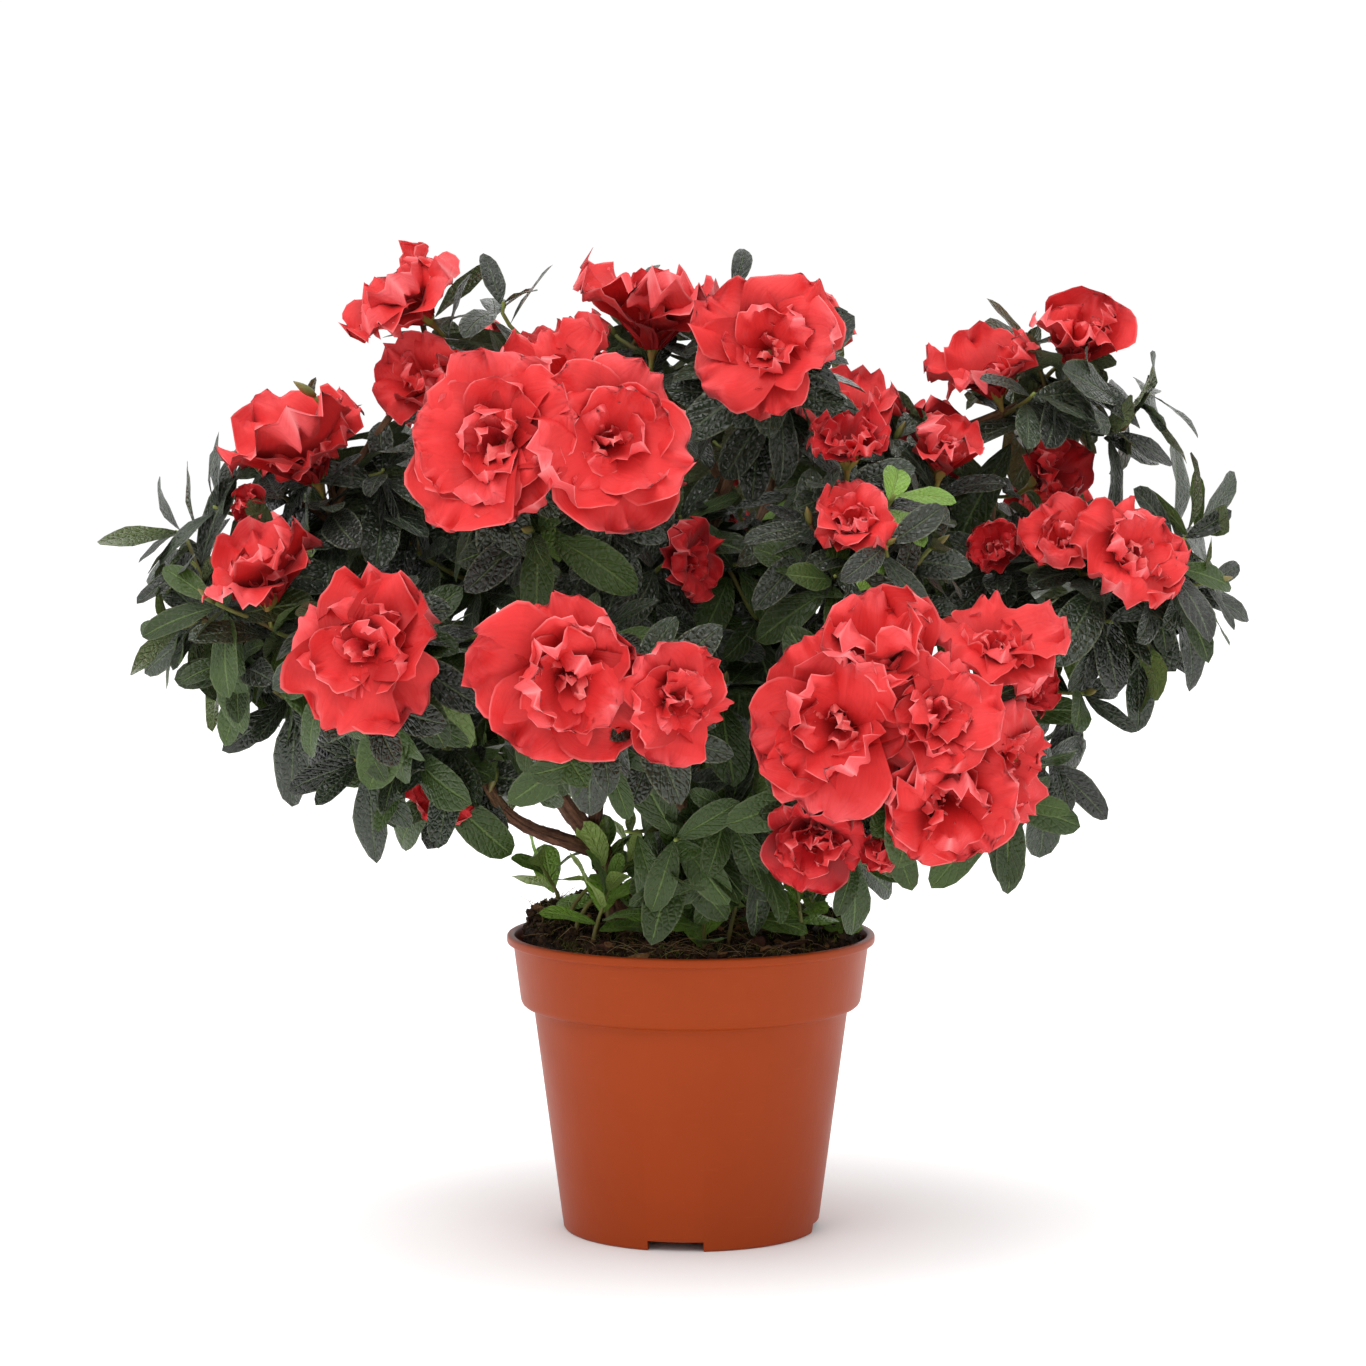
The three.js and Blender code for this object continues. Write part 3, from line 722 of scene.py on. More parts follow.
@dataclass
class Pot:
    """A thin moulded pot: a tapered body, a collar with a rolled lip, and a notched foot ring under a raised floor."""

    box: Box = field(default_factory=lambda: Box.of("pot"))
    wall: float = 1.6 * MM
    foot_radius: float = 48.6 * MM
    foot_height: float = 4.4 * MM
    foot_ring: float = 4.0 * MM
    collar_height: float = 26.2 * MM
    lip_drop: float = 3.6 * MM
    notch_width: float = 21 * MM
    notch_height: float = 3.8 * MM
    notch_turn: float = math.radians(-97)
    notches: int = 4
    drain_radius: float = 3.5 * MM
    drain_circle: float = 34 * MM
    drains: int = 8
    sides: int = 240

    @property
    def lip(self) -> float:
        """Radius of the lip."""
        return float(self.box.half[0])

    @property
    def height(self) -> float:
        """Height of the lip's top."""
        return float(self.box.high[2])

    @property
    def collar_foot(self) -> float:
        """Height of the collar's lower edge."""
        return self.height - self.collar_height

    def inside(self, height: float) -> float:
        """Inside radius of the wall at a height, by its straight runs.

        Args:
            height: above the floor that the pot stands on.

        Returns:
            The radius, in metres.
        """
        heights = [self.foot_height, self.collar_foot - 2.4 * MM, self.collar_foot + 2 * MM, self.height]
        radii = [self.foot_radius, self.lip - 10.2 * MM, self.lip - 5.4 * MM, self.lip - 2.4 * MM]
        return float(np.interp(height, heights, radii)) - self.wall

    def section(self) -> np.ndarray:
        """The section from the middle of the floor's underside, up the outside, over the lip and down inside.

        Returns:
            Radius and height of each point.
        """
        foot, ring, raised = self.foot_radius, self.foot_ring, self.foot_height
        collar, top, lip, wall = self.collar_foot, self.height, self.lip, self.wall
        corners = [
            (0, raised, 0),
            (foot - ring, raised, 0.8 * MM),
            (foot - ring, 0, 0.5 * MM),
            (foot, 0, 1.2 * MM),
            (lip - 10.2 * MM, collar - 2.4 * MM, 2 * MM),
            (lip - 9.4 * MM, collar - 1.4 * MM, 0.8 * MM),
            (lip - 5.5 * MM, collar - 0.8 * MM, 2.6 * MM),
            (lip - 2.4 * MM, top - self.lip_drop, 0.5 * MM),
            (lip, top - self.lip_drop + 0.3 * MM, 0.9 * MM),
            (lip, top, 1.2 * MM),
            (lip - 2.8 * MM, top, 0.9 * MM),
            (lip - 2.4 * MM - wall, top - 4 * MM, 2 * MM),
            (lip - 5.4 * MM - wall, collar + 2 * MM, 3 * MM),
            (lip - 10.2 * MM - wall, collar - 2.4 * MM, 3 * MM),
            (foot - wall, raised + wall, 2 * MM),
            (0, raised + wall, 0),
        ]
        return rounded(corners)

    def cutter(self) -> bpy.types.Object:
        """One mesh of all that is cut away: boxes through the foot ring and round pegs through the floor.

        Returns:
            The cutting object, to be removed after use.
        """
        shape = bmesh.new()
        for index in range(self.notches):
            turn = self.notch_turn + 2 * math.pi * index / self.notches
            way = np.array([math.cos(turn), math.sin(turn)])
            made = bmesh.ops.create_cube(shape, size=1.0)["verts"]
            bmesh.ops.scale(shape, vec=(self.foot_radius, self.notch_width, 2 * self.notch_height), verts=made)
            bmesh.ops.rotate(shape, cent=(0, 0, 0), verts=made, matrix=Matrix.Rotation(turn, 3, "Z"))
            bmesh.ops.translate(shape, vec=(*(way * self.foot_radius), 0), verts=made)
        for index in range(self.drains):
            turn = 2 * math.pi * (index + 0.5) / self.drains
            made = bmesh.ops.create_cone(shape, cap_ends=True, segments=32, radius1=self.drain_radius,
                                         radius2=self.drain_radius, depth=8 * MM)["verts"]
            place = (self.drain_circle * math.cos(turn), self.drain_circle * math.sin(turn), self.foot_height)
            bmesh.ops.translate(shape, vec=place, verts=made)
        bmesh.ops.recalc_face_normals(shape, faces=shape.faces)
        mesh = bpy.data.meshes.new("cutter")
        shape.to_mesh(mesh)
        shape.free()
        tool = bpy.data.objects.new("cutter", mesh)
        bpy.context.scene.collection.objects.link(tool)
        return tool

    def build(self) -> bpy.types.Object:
        """The section carried round the axis, then cut.

        Returns:
            The finished pot.
        """
        section = self.section()
        turn = np.linspace(0, 2 * math.pi, self.sides, endpoint=False)
        circle = np.stack([np.cos(turn), np.sin(turn)], axis=-1)
        flat = section[:, None, :1] * circle[None]
        grid = np.concatenate([flat, np.repeat(section[:, None, 1:], self.sides, axis=1)], axis=-1)
        surface = Surface("plastic_pot")
        surface.add(grid[None], closed=True)
        piece = surface.build(weld=1e-6)
        tool = self.cutter()
        cut = piece.modifiers.new("cut", "BOOLEAN")
        cut.operation, cut.solver, cut.object = "DIFFERENCE", "EXACT", tool
        ready = bpy.data.meshes.new_from_object(piece.evaluated_get(bpy.context.evaluated_depsgraph_get()))
        piece.modifiers.clear()
        piece.data = ready
        bpy.data.objects.remove(tool)
        ready.polygons.foreach_set("use_smooth", np.ones(len(ready.polygons), bool))
        ready.set_sharp_from_angle(angle=math.radians(38))
        return finish_piece(piece, POT_PLASTIC, "pot")


# ------------------------------------------------------------------------------------------------ soil


@dataclass
class Soil:
    """The root ball and what lies on it: peat, crumbs, fibres, moss, bark chips and fallen leaves."""

    pot: Pot
    box: Box = field(default_factory=lambda: Box.of("soil"))
    clear: float = 0.35 * MM
    below_lip: float = 5 * MM
    mound: float = 5.5 * MM
    level_round_stems: float = 9 * MM
    rings: int = 110
    turns: int = 240

    def feet(self) -> np.ndarray:
        """Where the stems stand, shaped (stems, 2)."""
        return np.array([node_points(name)[node_points(name)[:, 2] < Box.of(name).low[2] + MM].mean(0)[:2]
                         for name in STEM_NODES])

    def height(self, x: np.ndarray, y: np.ndarray) -> np.ndarray:
        """The surface: a shallow mound, heaped in lumps of three sizes, and level at each stem's foot.

        Args:
            x: places along X.
            y: places along Y.

        Returns:
            The height at each place.
        """
        level = self.pot.height - self.below_lip
        wall = self.pot.inside(level) - self.clear
        across = np.hypot(x, y) / wall
        place = np.stack([x, y, 0 * x], axis=-1)
        lumps = (1.9 * ripples(place, 42 * MM, "slow lumps") + 1.2 * ripples(place, 15 * MM, "lumps")
                 + 0.55 * ripples(place, 5 * MM, "clods") + 0.3 * ripples(place, 2 * MM, "crumbs")) * MM
        heap = (12 * MM * smooth(0.15, 0.9, (-0.85 * x + 0.5 * y) / wall)
                + 9 * MM * smooth(0.2, 0.9, (0.85 * x + 0.5 * y) / wall))
        free = level + self.mound * (1 - 0.9 * across**2) + lumps + heap * (1 - smooth(0.93, 1.0, across))
        near = np.min([np.hypot(x - fx, y - fy) for fx, fy in self.feet()], axis=0)
        share = smooth(0.4 * self.level_round_stems, 1.4 * self.level_round_stems, near)
        foot = Box.of(STEM_NODES[0]).low[2] + 0.3 * MM
        return foot * (1 - share) + free * share

    def build(self) -> None:
        """Makes every piece of the soil."""
        self.build_ball()
        self.scatter_bits("peat_crumbs", CRUMBS, 5200, (0.7, 3.2), (1, 0.8, 0.6), 0.35)
        self.scatter_bits("bark_chips", CHIPS, 90, (2.2, 5.5), (1, 0.5, 0.22), 0.15)
        self.build_strands("peat_fibres", FIBRES, 420, (5, 15), 0.16, 0.5)
        self.build_strands("moss", MOSS, 1500, (1.5, 3.8), 0.2, 2.2)
        self.build_fallen()

    def build_ball(self) -> None:
        """The root ball: a closed body of rings, up the pot's wall and in over the heaped surface."""
        level = self.pot.height - self.below_lip
        floor = self.pot.foot_height + self.pot.wall + self.clear
        wall_heights = np.array([floor, self.pot.collar_foot - 2.4 * MM, self.pot.collar_foot + 2 * MM, level - 3 * MM])
        radii = [0.0, *(self.pot.inside(h) - self.clear for h in wall_heights)]
        top = np.linspace(1, 0, self.rings) * (self.pot.inside(level) - self.clear)
        radius = np.concatenate([radii, top])
        turn = np.linspace(0, 2 * math.pi, self.turns, endpoint=False)
        x, y = radius[:, None] * np.cos(turn), radius[:, None] * np.sin(turn)
        z = np.concatenate([np.repeat([[floor]], self.turns, axis=1),
                            np.repeat(wall_heights[:, None], self.turns, axis=1),
                            self.height(x[len(radii):], y[len(radii):])])
        surface = Surface("root_ball")
        surface.add(np.stack([x, y, z], axis=-1)[None], closed=True)
        finish_piece(surface.build(weld=2e-6), PEAT, "soil")

    def spots(self, count: int, random: np.random.Generator, clumps: float, clear: float = 2 * MM) -> np.ndarray:
        """Places on the surface, shaped (count, 3), drawn together where slow ripples are high, clear of the wall.

        Args:
            count: how many.
            random: the dice.
            clumps: how strongly they gather.
            clear: the gap to the wall.

        Returns:
            The places.
        """
        reach = self.pot.inside(self.pot.height - self.below_lip) - clear
        radius, turn = reach * np.sqrt(random.random(4 * count)), random.uniform(0, 2 * math.pi, 4 * count)
        x, y = radius * np.cos(turn), radius * np.sin(turn)
        pull = clumps * ripples(np.stack([x, y, 0 * x], axis=-1), 24 * MM, f"clumps {count}")
        kept = np.argsort(-(pull + random.gumbel(size=len(x))))[:count]
        return np.stack([x, y, self.height(x, y)], axis=-1)[kept]

    def scatter_bits(self, name: str, finish: Finish, count: int, sizes: tuple, shape: tuple, sink: float) -> None:
        """Scatters small uneven lumps: boxes with their corners pushed about, turned every way.

        Args:
            name: the piece's name.
            finish: its finish.
            count: how many.
            sizes: smallest and largest, in millimetres.
            shape: length, breadth and thickness as shares of the size.
            sink: how far they lie in the surface, as a share of their size.
        """
        random = dice(name)
        size = (sizes[0] + (sizes[1] - sizes[0]) * random.random(count) ** 2.5) * MM
        ring = np.array([[-1, -1], [1, -1], [1, 1], [-1, 1]]) * 0.5
        rows = [(0.0, -0.5), (0.8, -0.5), (1.0, 0.0), (0.75, 0.5), (0.0, 0.5)]
        lump = np.array([[[wide * x, wide * y, high] for x, y in ring] for wide, high in rows])
        grid = lump[None] * (np.array(shape) * (1 + 0.35 * random.normal(size=(count, 1, 1, 3)).clip(-1.5, 1.5)))
        grid[:, 1:4] += 0.11 * random.normal(size=(count, 3, 4, 3))
        ways = unit(random.normal(size=(count, 3)) * [0.8, 0.8, 1.0] + [0, 0, 0.8])
        side, third = along_and_across(np.zeros((count, 3)), ways)
        turned = np.einsum("nrcj,njk->nrck", grid, np.stack([side, third, ways], axis=1)) * size[:, None, None, None]
        place = self.spots(count, random, 0.8) + UP * (size * (0.5 - sink))[:, None]
        surface = Surface(name)
        surface.add(turned + place[:, None, None], tone=random.random(count), closed=True)
        finish_piece(surface.build(flat=True), finish)

    def build_strands(self, name: str, finish: Finish, count: int, lengths: tuple, thick: float, rise: float) -> None:
        """Scatters thin curved strands: tubes along arcs, lying flat or standing up.

        Args:
            name: the piece's name.
            finish: its finish.
            count: how many.
            lengths: shortest and longest, in millimetres.
            thick: radius, in millimetres.
            rise: how steeply they stand.
        """
        random = dice(name)
        place = self.spots(count, random, 2.4, 5 * MM)
        turn = random.uniform(0, 2 * math.pi, count)
        flat = np.stack([np.cos(turn), np.sin(turn), 0 * turn], axis=-1)
        inward = unit(place * [1, 1, 0])
        flat = unit(flat - 0.9 * np.maximum((flat * inward).sum(-1, keepdims=True), 0) * inward)
        way = unit(flat + UP * (rise * random.uniform(0.1, 1, count))[:, None])
        length = random.uniform(*lengths, count) * MM
        bend = unit(np.cross(way, UP)) * random.normal(size=(count, 1)) * 0.7 - UP * 0.5
        end = place + way * length[:, None]
        line = hermite(place, (way - bend) * length[:, None], end, (way + bend) * length[:, None], 6)
        floor = self.height(line[..., 0], line[..., 1]) + 0.2 * MM
        line[..., 2] = np.maximum(line[..., 2], floor)
        taper = np.linspace(1, 0.4, 6) * thick * MM
        surface = Surface(name)
        surface.add(tubes(line, np.repeat(taper[None], count, axis=0), 3), tone=random.random(count), closed=True)
        finish_piece(surface.build(), finish)

    def build_fallen(self) -> None:
        """A few dead leaves, curled on the peat."""
        random = dice("fallen leaves")
        place = self.spots(46, random, 0.6, 15 * MM) + UP * 1.2 * MM
        turn = random.uniform(0, 2 * math.pi, len(place))
        along = unit(np.stack([np.cos(turn), np.sin(turn), random.normal(0, 0.15, len(turn))], axis=-1))
        blades = Blades(place - along * 5 * MM, along, unit(UP + 0.5 * random.normal(size=along.shape)),
                        random.uniform(7, 17, len(turn)) * MM, random.uniform(3, 6, len(turn)) * MM)
        blades.bend = random.uniform(-0.6, 1.1, len(turn))
        blades.fold = random.uniform(0.1, 0.8, len(turn))
        surface = Surface("fallen_leaves")
        surface.add(blades.grid(), tone=random.random(len(turn)))
        finish_piece(surface.build(), FALLEN)


# ------------------------------------------------------------------------------------------------ leaves


@dataclass
class Blades:
    """Many leaf blades at once, each a grid of a few faces in a leaf's own outline.

    The spine leaves base along its way and bends down from it. The half-width is a power of the distance from the foot
    times a power of the distance from the tip, which is widest past the middle and ends in a point. Across the blade
    the two halves bulge up from a sunk midrib, and a slow wave runs along each margin.
    """

    base: np.ndarray
    along: np.ndarray
    face: np.ndarray
    length: np.ndarray
    width: np.ndarray
    bend: np.ndarray | float = 0.4
    fold: np.ndarray | float = 0.3
    sway: np.ndarray | float = 0.0
    twist: np.ndarray | float = 0.0
    phase: np.ndarray | float = 0.0
    stations: tuple[float, ...] = (0, 0.09, 0.2, 0.36, 0.52, 0.68, 0.82, 0.93, 1)

    def spread(self, value: np.ndarray | float) -> np.ndarray:
        """A value for each blade, shaped (blades, 1)."""
        return np.broadcast_to(value, len(self.base))[:, None]

    def grid(self) -> np.ndarray:
        """The blades' points, shaped (blades, rows, 5, 3).

        Returns:
            Points shaped (blades, rows, columns, 3).
        """
        t = np.array(self.stations)
        face = square_to(self.face, self.along)
        side = np.cross(self.along, face)
        angle = self.spread(self.bend) * t**1.4
        drift = self.spread(self.sway) * t
        way = (np.cos(angle)[..., None] * self.along[:, None] - np.sin(angle)[..., None] * face[:, None]
               + np.sin(drift)[..., None] * side[:, None])
        steps = np.diff(t, prepend=0)[None, :, None] * self.length[:, None, None]
        middle = (way + np.roll(way, 1, axis=1)) / 2
        middle[:, 0] = way[:, 0]
        spine = self.base[:, None] + np.cumsum(unit(middle) * steps, axis=1)
        normal = square_to(np.cos(angle)[..., None] * face[:, None] + np.sin(angle)[..., None] * self.along[:, None],
                           unit(way))
        roll = self.spread(self.twist) * t
        flank = np.cross(unit(way), normal)
        across = np.cos(roll)[..., None] * flank + np.sin(roll)[..., None] * normal
        lift = np.cross(across, unit(way))
        outline = t**0.85 * (1 - t) ** 0.62
        half = self.width[:, None] / 2 * (outline / outline.max())
        half = np.maximum(half, 0.02 * self.width[:, None] * (t < 0.5))
        s = np.array([-1, -0.5, 0, 0.5, 1.0])
        bulge = self.spread(self.fold)[..., None] * (np.abs(s) - 0.55 * s**2)
        turns = 1.6 * t[None, :, None] + self.spread(self.phase)[..., None]
        wave = 0.10 * np.sin(2 * math.pi * turns + 2.1 * s) * s**2
        rise = half[..., None] * (bulge + wave)
        return (spine[:, :, None] + (half[..., None] * s)[..., None] * across[:, :, None]
                + rise[..., None] * lift[:, :, None])

    def taken(self, kept: np.ndarray) -> "Blades":
        """Some of the blades.

        Args:
            kept: truth values or numbers of those to keep.

        Returns:
            The chosen blades.
        """
        values = {}
        for name, value in vars(self).items():
            values[name] = value[kept] if isinstance(value, np.ndarray) else value
        return Blades(**values)


# ------------------------------------------------------------------------------------------------ limbs


@dataclass
class Limb:
    """A stem or bough of the CAD model: its centreline and radii, and its bark."""

    node: str
    line: np.ndarray
    radii: np.ndarray

    @classmethod
    def of(cls, node: str, start: np.ndarray, steps: int = 24) -> "Limb":
        """Finds a limb's centreline in its CAD node.

        Least squares fits a cubic to the corners along the node's longest direction, and to their distances from it a
        straight taper and a flare that dies away from the foot.

        Args:
            node: the CAD node.
            start: a point near the limb's foot.
            steps: points along the centreline.

        Returns:
            The limb.
        """
        points = node_points(node)
        middle = points.mean(0)
        axis = np.linalg.svd(points - middle, full_matrices=False)[2][0]
        if (middle - start) @ axis < 0:
            axis = -axis
        along = (points - middle) @ axis
        share = (along - along.min()) / np.ptp(along)
        powers = np.stack([share**0, share, share**2, share**3], axis=-1)
        fit = np.linalg.lstsq(powers, points, rcond=None)[0]
        away = np.linalg.norm(points - powers @ fit, axis=-1)
        taper = np.stack([share**0, share, np.exp(-9 * share)], axis=-1)
        thick = np.linalg.lstsq(taper, away, rcond=None)[0]
        t = np.linspace(0, 1, steps)
        line = np.stack([t**0, t, t**2, t**3], axis=-1) @ fit
        radii = np.stack([t**0, t, np.exp(-9 * t)], axis=-1) @ thick
        return cls(node, line, np.maximum(radii, 1.1 * MM))

    def bark(self, surface: Surface, rings: int = 64, sides: int = 28) -> None:
        """Adds the limb's skin: rings whose radius swells in strips along the limb and in collars at old leaf scars.

        Args:
            surface: takes the skin.
            rings: rings along the limb.
            sides: points in a ring.
        """
        t = np.linspace(0, 1, rings)
        old = np.linspace(0, 1, len(self.line))
        line = np.stack([np.interp(t, old, self.line[:, k]) for k in range(3)], axis=-1)
        radii = np.interp(t, old, self.radii)
        grid = tubes(line[None], radii[None], sides)
        skin = grid[:, 1:-1]
        out = skin - line[None, :, None]
        way = unit(self.line[-1] - self.line[0])
        flattened = skin - (skin @ way)[..., None] * way * 0.82
        strips = ripples(flattened, 3.2 * MM, self.node + " strips") + 0.6 * ripples(flattened, 1.5 * MM, "flakes")
        lumps = ripples(skin, 11 * MM, self.node + " lumps")
        scar = (np.arange(rings) / rings * 9 * np.linalg.norm(line[-1] - line[0]) / (60 * MM)) % 1
        scars = np.exp(-(((scar - 0.5) / 0.09) ** 2))
        swell = 1 + 0.065 * strips + 0.07 * lumps + 0.08 * scars[None, :, None]
        grid[:, 1:-1] = line[None, :, None] + out * swell[..., None]
        turns = np.linspace(0, 1, sides)
        length = np.linalg.norm(line[-1] - line[0]) / (20 * MM)
        rows = np.linspace(0, length, rings + 2)
        surface.add(grid, uv=np.stack(np.meshgrid(turns, rows), axis=-1), closed=True)


@dataclass
class Branching:
    """The seeded branching rule: each new shoot leaves the nearest fitting place of what has grown so far.

    Fitting weighs the distance, how far the shoot would turn from its bearer's way, and how far the bearer's place is
    from the root. A shoot is a cubic curve that leaves along a blend of its bearer's way and its own.
    """

    limbs: list[Limb]
    steps: int = 8
    turn_cost: float = 0.55
    length_cost: float = 0.22
    tip_radius: float = 0.75 * MM
    lines: list[np.ndarray] = field(default_factory=list)
    bearers: list[int] = field(default_factory=list)
    old: list[bool] = field(default_factory=list)

    def __post_init__(self) -> None:
        """Takes the limbs' centrelines as what has grown so far."""
        self.places = np.concatenate([limb.line[4:] for limb in self.limbs])
        self.ways = np.concatenate([unit(np.gradient(limb.line, axis=0))[4:] for limb in self.limbs])
        soil = min(limb.line[0, 2] for limb in self.limbs)
        self.lengths = np.linalg.norm(self.places - [0, 0, soil], axis=-1)
        self.owner = np.full(len(self.places), -1)

    def grow(self, tip: np.ndarray, way: np.ndarray, old: bool = False) -> None:
        """Grows one shoot to a tip, arriving along way. old marks a branch that carries no leaves itself.

        Args:
            tip: where the shoot ends.
            way: its unit way there.
            old: whether it is a branch without leaves.
        """
        reach = tip - self.places
        distance = np.linalg.norm(reach, axis=-1)
        turn = 1 - (reach * self.ways).sum(-1) / np.maximum(distance, 1e-9)
        cost = distance * (1 + self.turn_cost * turn) + self.length_cost * self.lengths
        cost[distance < 7 * MM] += 1.0
        best = int(np.argmin(cost))
        far = distance[best]
        leave = unit(0.55 * self.ways[best] + reach[best] / far) * far * 0.9
        line = hermite(self.places[best], leave, tip, way * far * 0.7, self.steps)
        self.bearers.append(int(self.owner[best]))
        self.old.append(old)
        ways = unit(np.gradient(line, axis=0))
        made = np.cumsum(np.linalg.norm(np.diff(line, axis=0), axis=-1)) + self.lengths[best]
        self.places = np.concatenate([self.places, line[1:]])
        self.ways = np.concatenate([self.ways, ways[1:]])
        self.lengths = np.concatenate([self.lengths, made])
        self.owner = np.concatenate([self.owner, np.full(self.steps - 1, len(self.lines))])
        self.lines.append(line)

    def radii(self) -> tuple[np.ndarray, np.ndarray]:
        """Each shoot's radius at its foot and tip, from how many shoots it carries.

        Returns:
            Foot radii and tip radii.
        """
        load = np.ones(len(self.lines))
        for index in range(len(self.lines) - 1, -1, -1):
            if self.bearers[index] >= 0:
                load[self.bearers[index]] += load[index]
        foot = np.minimum(0.95 * MM * load**0.33, 2.5 * MM)
        tip = np.where(load > 1.5, 0.62 * foot, self.tip_radius)
        return foot, np.maximum(tip, self.tip_radius)

    def build(self) -> None:
        """The branches in two pieces: old wood with bark, and young green-brown twigs."""
        foot, tip = self.radii()
        lines = np.stack(self.lines)
        share = np.linspace(0, 1, self.steps)
        radii = foot[:, None] * (1 - share) + tip[:, None] * share
        woody = (foot > 1.25 * MM) | np.array(self.old)
        for name, finish, picked, sides in (("branches", TWIG_BARK, woody, 9), ("young_twigs", YOUNG_BARK, ~woody, 6)):
            surface = Surface(name)
            rows = np.linspace(0, 3, self.steps + 2)
            uv = np.stack(np.meshgrid(np.linspace(0, 1, sides), rows / (1 if finish is TWIG_BARK else 3)), axis=-1)
            surface.add(tubes(lines[picked], radii[picked], sides), uv=uv, closed=True)
            finish_piece(surface.build(), finish)


# ------------------------------------------------------------------------------------------------ blossom


class Habit(Enum):
    """How far a bloom has opened: its outer and inner petals' pitch, and their margins' curl, in degrees."""

    FLAT = (0.0, 30.0, 10.0)
    OPEN = (14.0, 42.0, 18.0)
    CUP = (50.0, 62.0, 34.0)
    HALF = (66.0, 76.0, 16.0)
    BUD = (82.0, 86.0, 2.0)


class Tint(Enum):
    """A bloom's colour. The deep red is partly older blooms' own colour and partly painted shade, given to many blooms
    that sit back in the crown or face down.
    """

    CORAL = "coral"
    DEEP = "deep"


@dataclass(frozen=True)
class Bloom:
    """One bloom, placed on a mass.

    across and up are its place over the mass's box seen from the front, from 0 to 1. turn is the way that it faces, in
    degrees round from the front towards +X, and lift how far above level. size is its width when fully open, in
    millimetres. depth is how far forward on the mass it is, as a share.
    """

    mass: str
    across: float
    up: float
    turn: float
    lift: float
    size: float
    habit: Habit = Habit.OPEN
    tint: Tint = Tint.CORAL
    depth: float = 1.0

    @property
    def facing(self) -> np.ndarray:
        """The unit vector that the bloom faces along."""
        turn, lift = math.radians(self.turn), math.radians(self.lift)
        return np.array([math.sin(turn) * math.cos(lift), -math.cos(turn) * math.cos(lift), math.sin(lift)])

    @property
    def petal_length(self) -> float:
        """Length of the outer petals, from the calyx to the margin."""
        return 0.55 * self.size * MM

    @property
    def middle(self) -> np.ndarray:
        """The middle of the open part.

        Returns:
            The place, in metres.
        """
        box = MASSES[self.mass]
        share = np.array([2 * self.across - 1, 2 * self.up - 1])
        bulge = math.sqrt(max(0.08, 1 - float(share @ share)))
        offset = np.array([share[0], -bulge * self.depth, share[1]])
        return box.middle + box.half * offset

    @property
    def base(self) -> np.ndarray:
        """Where the petals leave the calyx."""
        depth = 0.26 + 0.2 * math.sin(math.radians(self.habit.value[0]))
        return self.middle - self.facing * self.petal_length * depth


FRONT_BLOOMS = [
    # the top
    Bloom("top_left", 0.38, 0.68, -64, 44, 58, Habit.CUP, depth=0.3),
    Bloom("top_left", 0.50, 0.16, -35, 35, 42, Habit.CUP, depth=0.5),
    Bloom("top_middle", 0.58, 0.64, 10, 74, 62, Habit.CUP, depth=0.5),
    Bloom("top_middle", 0.06, 0.44, -40, 60, 42, Habit.CUP, depth=0.2),
    Bloom("top_right_middle", 0.47, 0.60, -10, 16, 58),
    Bloom("top_dip", 0.30, 0.80, -5, 66, 46, Habit.CUP, depth=0.3),
    Bloom("top_dip", 0.76, 0.58, 16, 60, 38, Habit.HALF, depth=0.9),
    Bloom("top_right", 0.22, 0.60, -40, 62, 50, Habit.CUP, depth=0.2),
    Bloom("top_right", 0.66, 0.76, 30, 70, 46, Habit.HALF, depth=0.3),
    Bloom("top_right", 0.53, 0.06, 50, 30, 38, Habit.CUP, Tint.DEEP, depth=0.2),
    # the left
    Bloom("left_shoulder", 0.44, 0.62, -40, 56, 64, Habit.CUP, depth=0.4),
    Bloom("left_shoulder", 0.24, 0.28, -60, 45, 20, Habit.HALF, Tint.DEEP, depth=0.6),
    Bloom("left_fan", 0.58, 0.78, -20, 72, 52, Habit.CUP, depth=0.8),
    Bloom("left_middle", 0.49, 0.59, -18, 6, 57),
    Bloom("left_low", 0.44, 0.24, -20, -12, 30, Habit.CUP, Tint.DEEP, depth=0.2),
    # the front
    Bloom("front_left", 0.33, 0.66, -24, 12, 64),
    Bloom("front_left", 0.75, 0.66, 20, 12, 66),
    Bloom("front_left", 0.54, 0.92, 0, 56, 52, Habit.CUP, depth=0.7),
    Bloom("front_middle", 0.40, 0.62, -4, -8, 60),
    Bloom("front_middle", 0.80, 0.50, 32, -4, 44),
    Bloom("core", 0.50, 0.66, 40, 10, 34, Habit.CUP, Tint.DEEP, depth=0.9),
    # the right
    Bloom("right_inside", 0.45, 0.62, -10, 40, 38, Habit.CUP, depth=0.45),
    Bloom("right_inside", 0.43, 0.95, 0, 60, 36, Habit.CUP, Tint.DEEP, depth=0.2),
    Bloom("right_fan", 0.18, 0.72, -30, 46, 40, Habit.CUP, depth=0.5),
    Bloom("right_fan", 0.43, 0.66, 30, 34, 46, depth=0.7),
    Bloom("right_fan", -0.10, 0.66, -10, 30, 26, Habit.CUP, Tint.DEEP, depth=0.2),
    Bloom("right_front", 0.24, 0.54, -8, 2, 62, Habit.FLAT),
    Bloom("right_front", 0.42, 0.82, 0, 62, 58, Habit.CUP, depth=0.9),
    Bloom("right_front", 0.86, 0.84, 30, 62, 52, depth=0.8),
    Bloom("right_front", 0.62, 0.60, 20, 26, 44),
    Bloom("right_front", 0.66, 0.24, 12, -14, 52, Habit.CUP),
    Bloom("right_front", 0.93, 0.36, 50, -4, 44, depth=0.9),
    Bloom("right_front", 0.16, 0.06, -16, -30, 42, Habit.CUP, Tint.DEEP),
    Bloom("right_front", 0.42, 0.02, -4, -50, 22, Habit.BUD, Tint.DEEP),
    Bloom("right_low", 0.70, 0.80, 42, 30, 30, Habit.CUP, Tint.DEEP, depth=0.6),
]


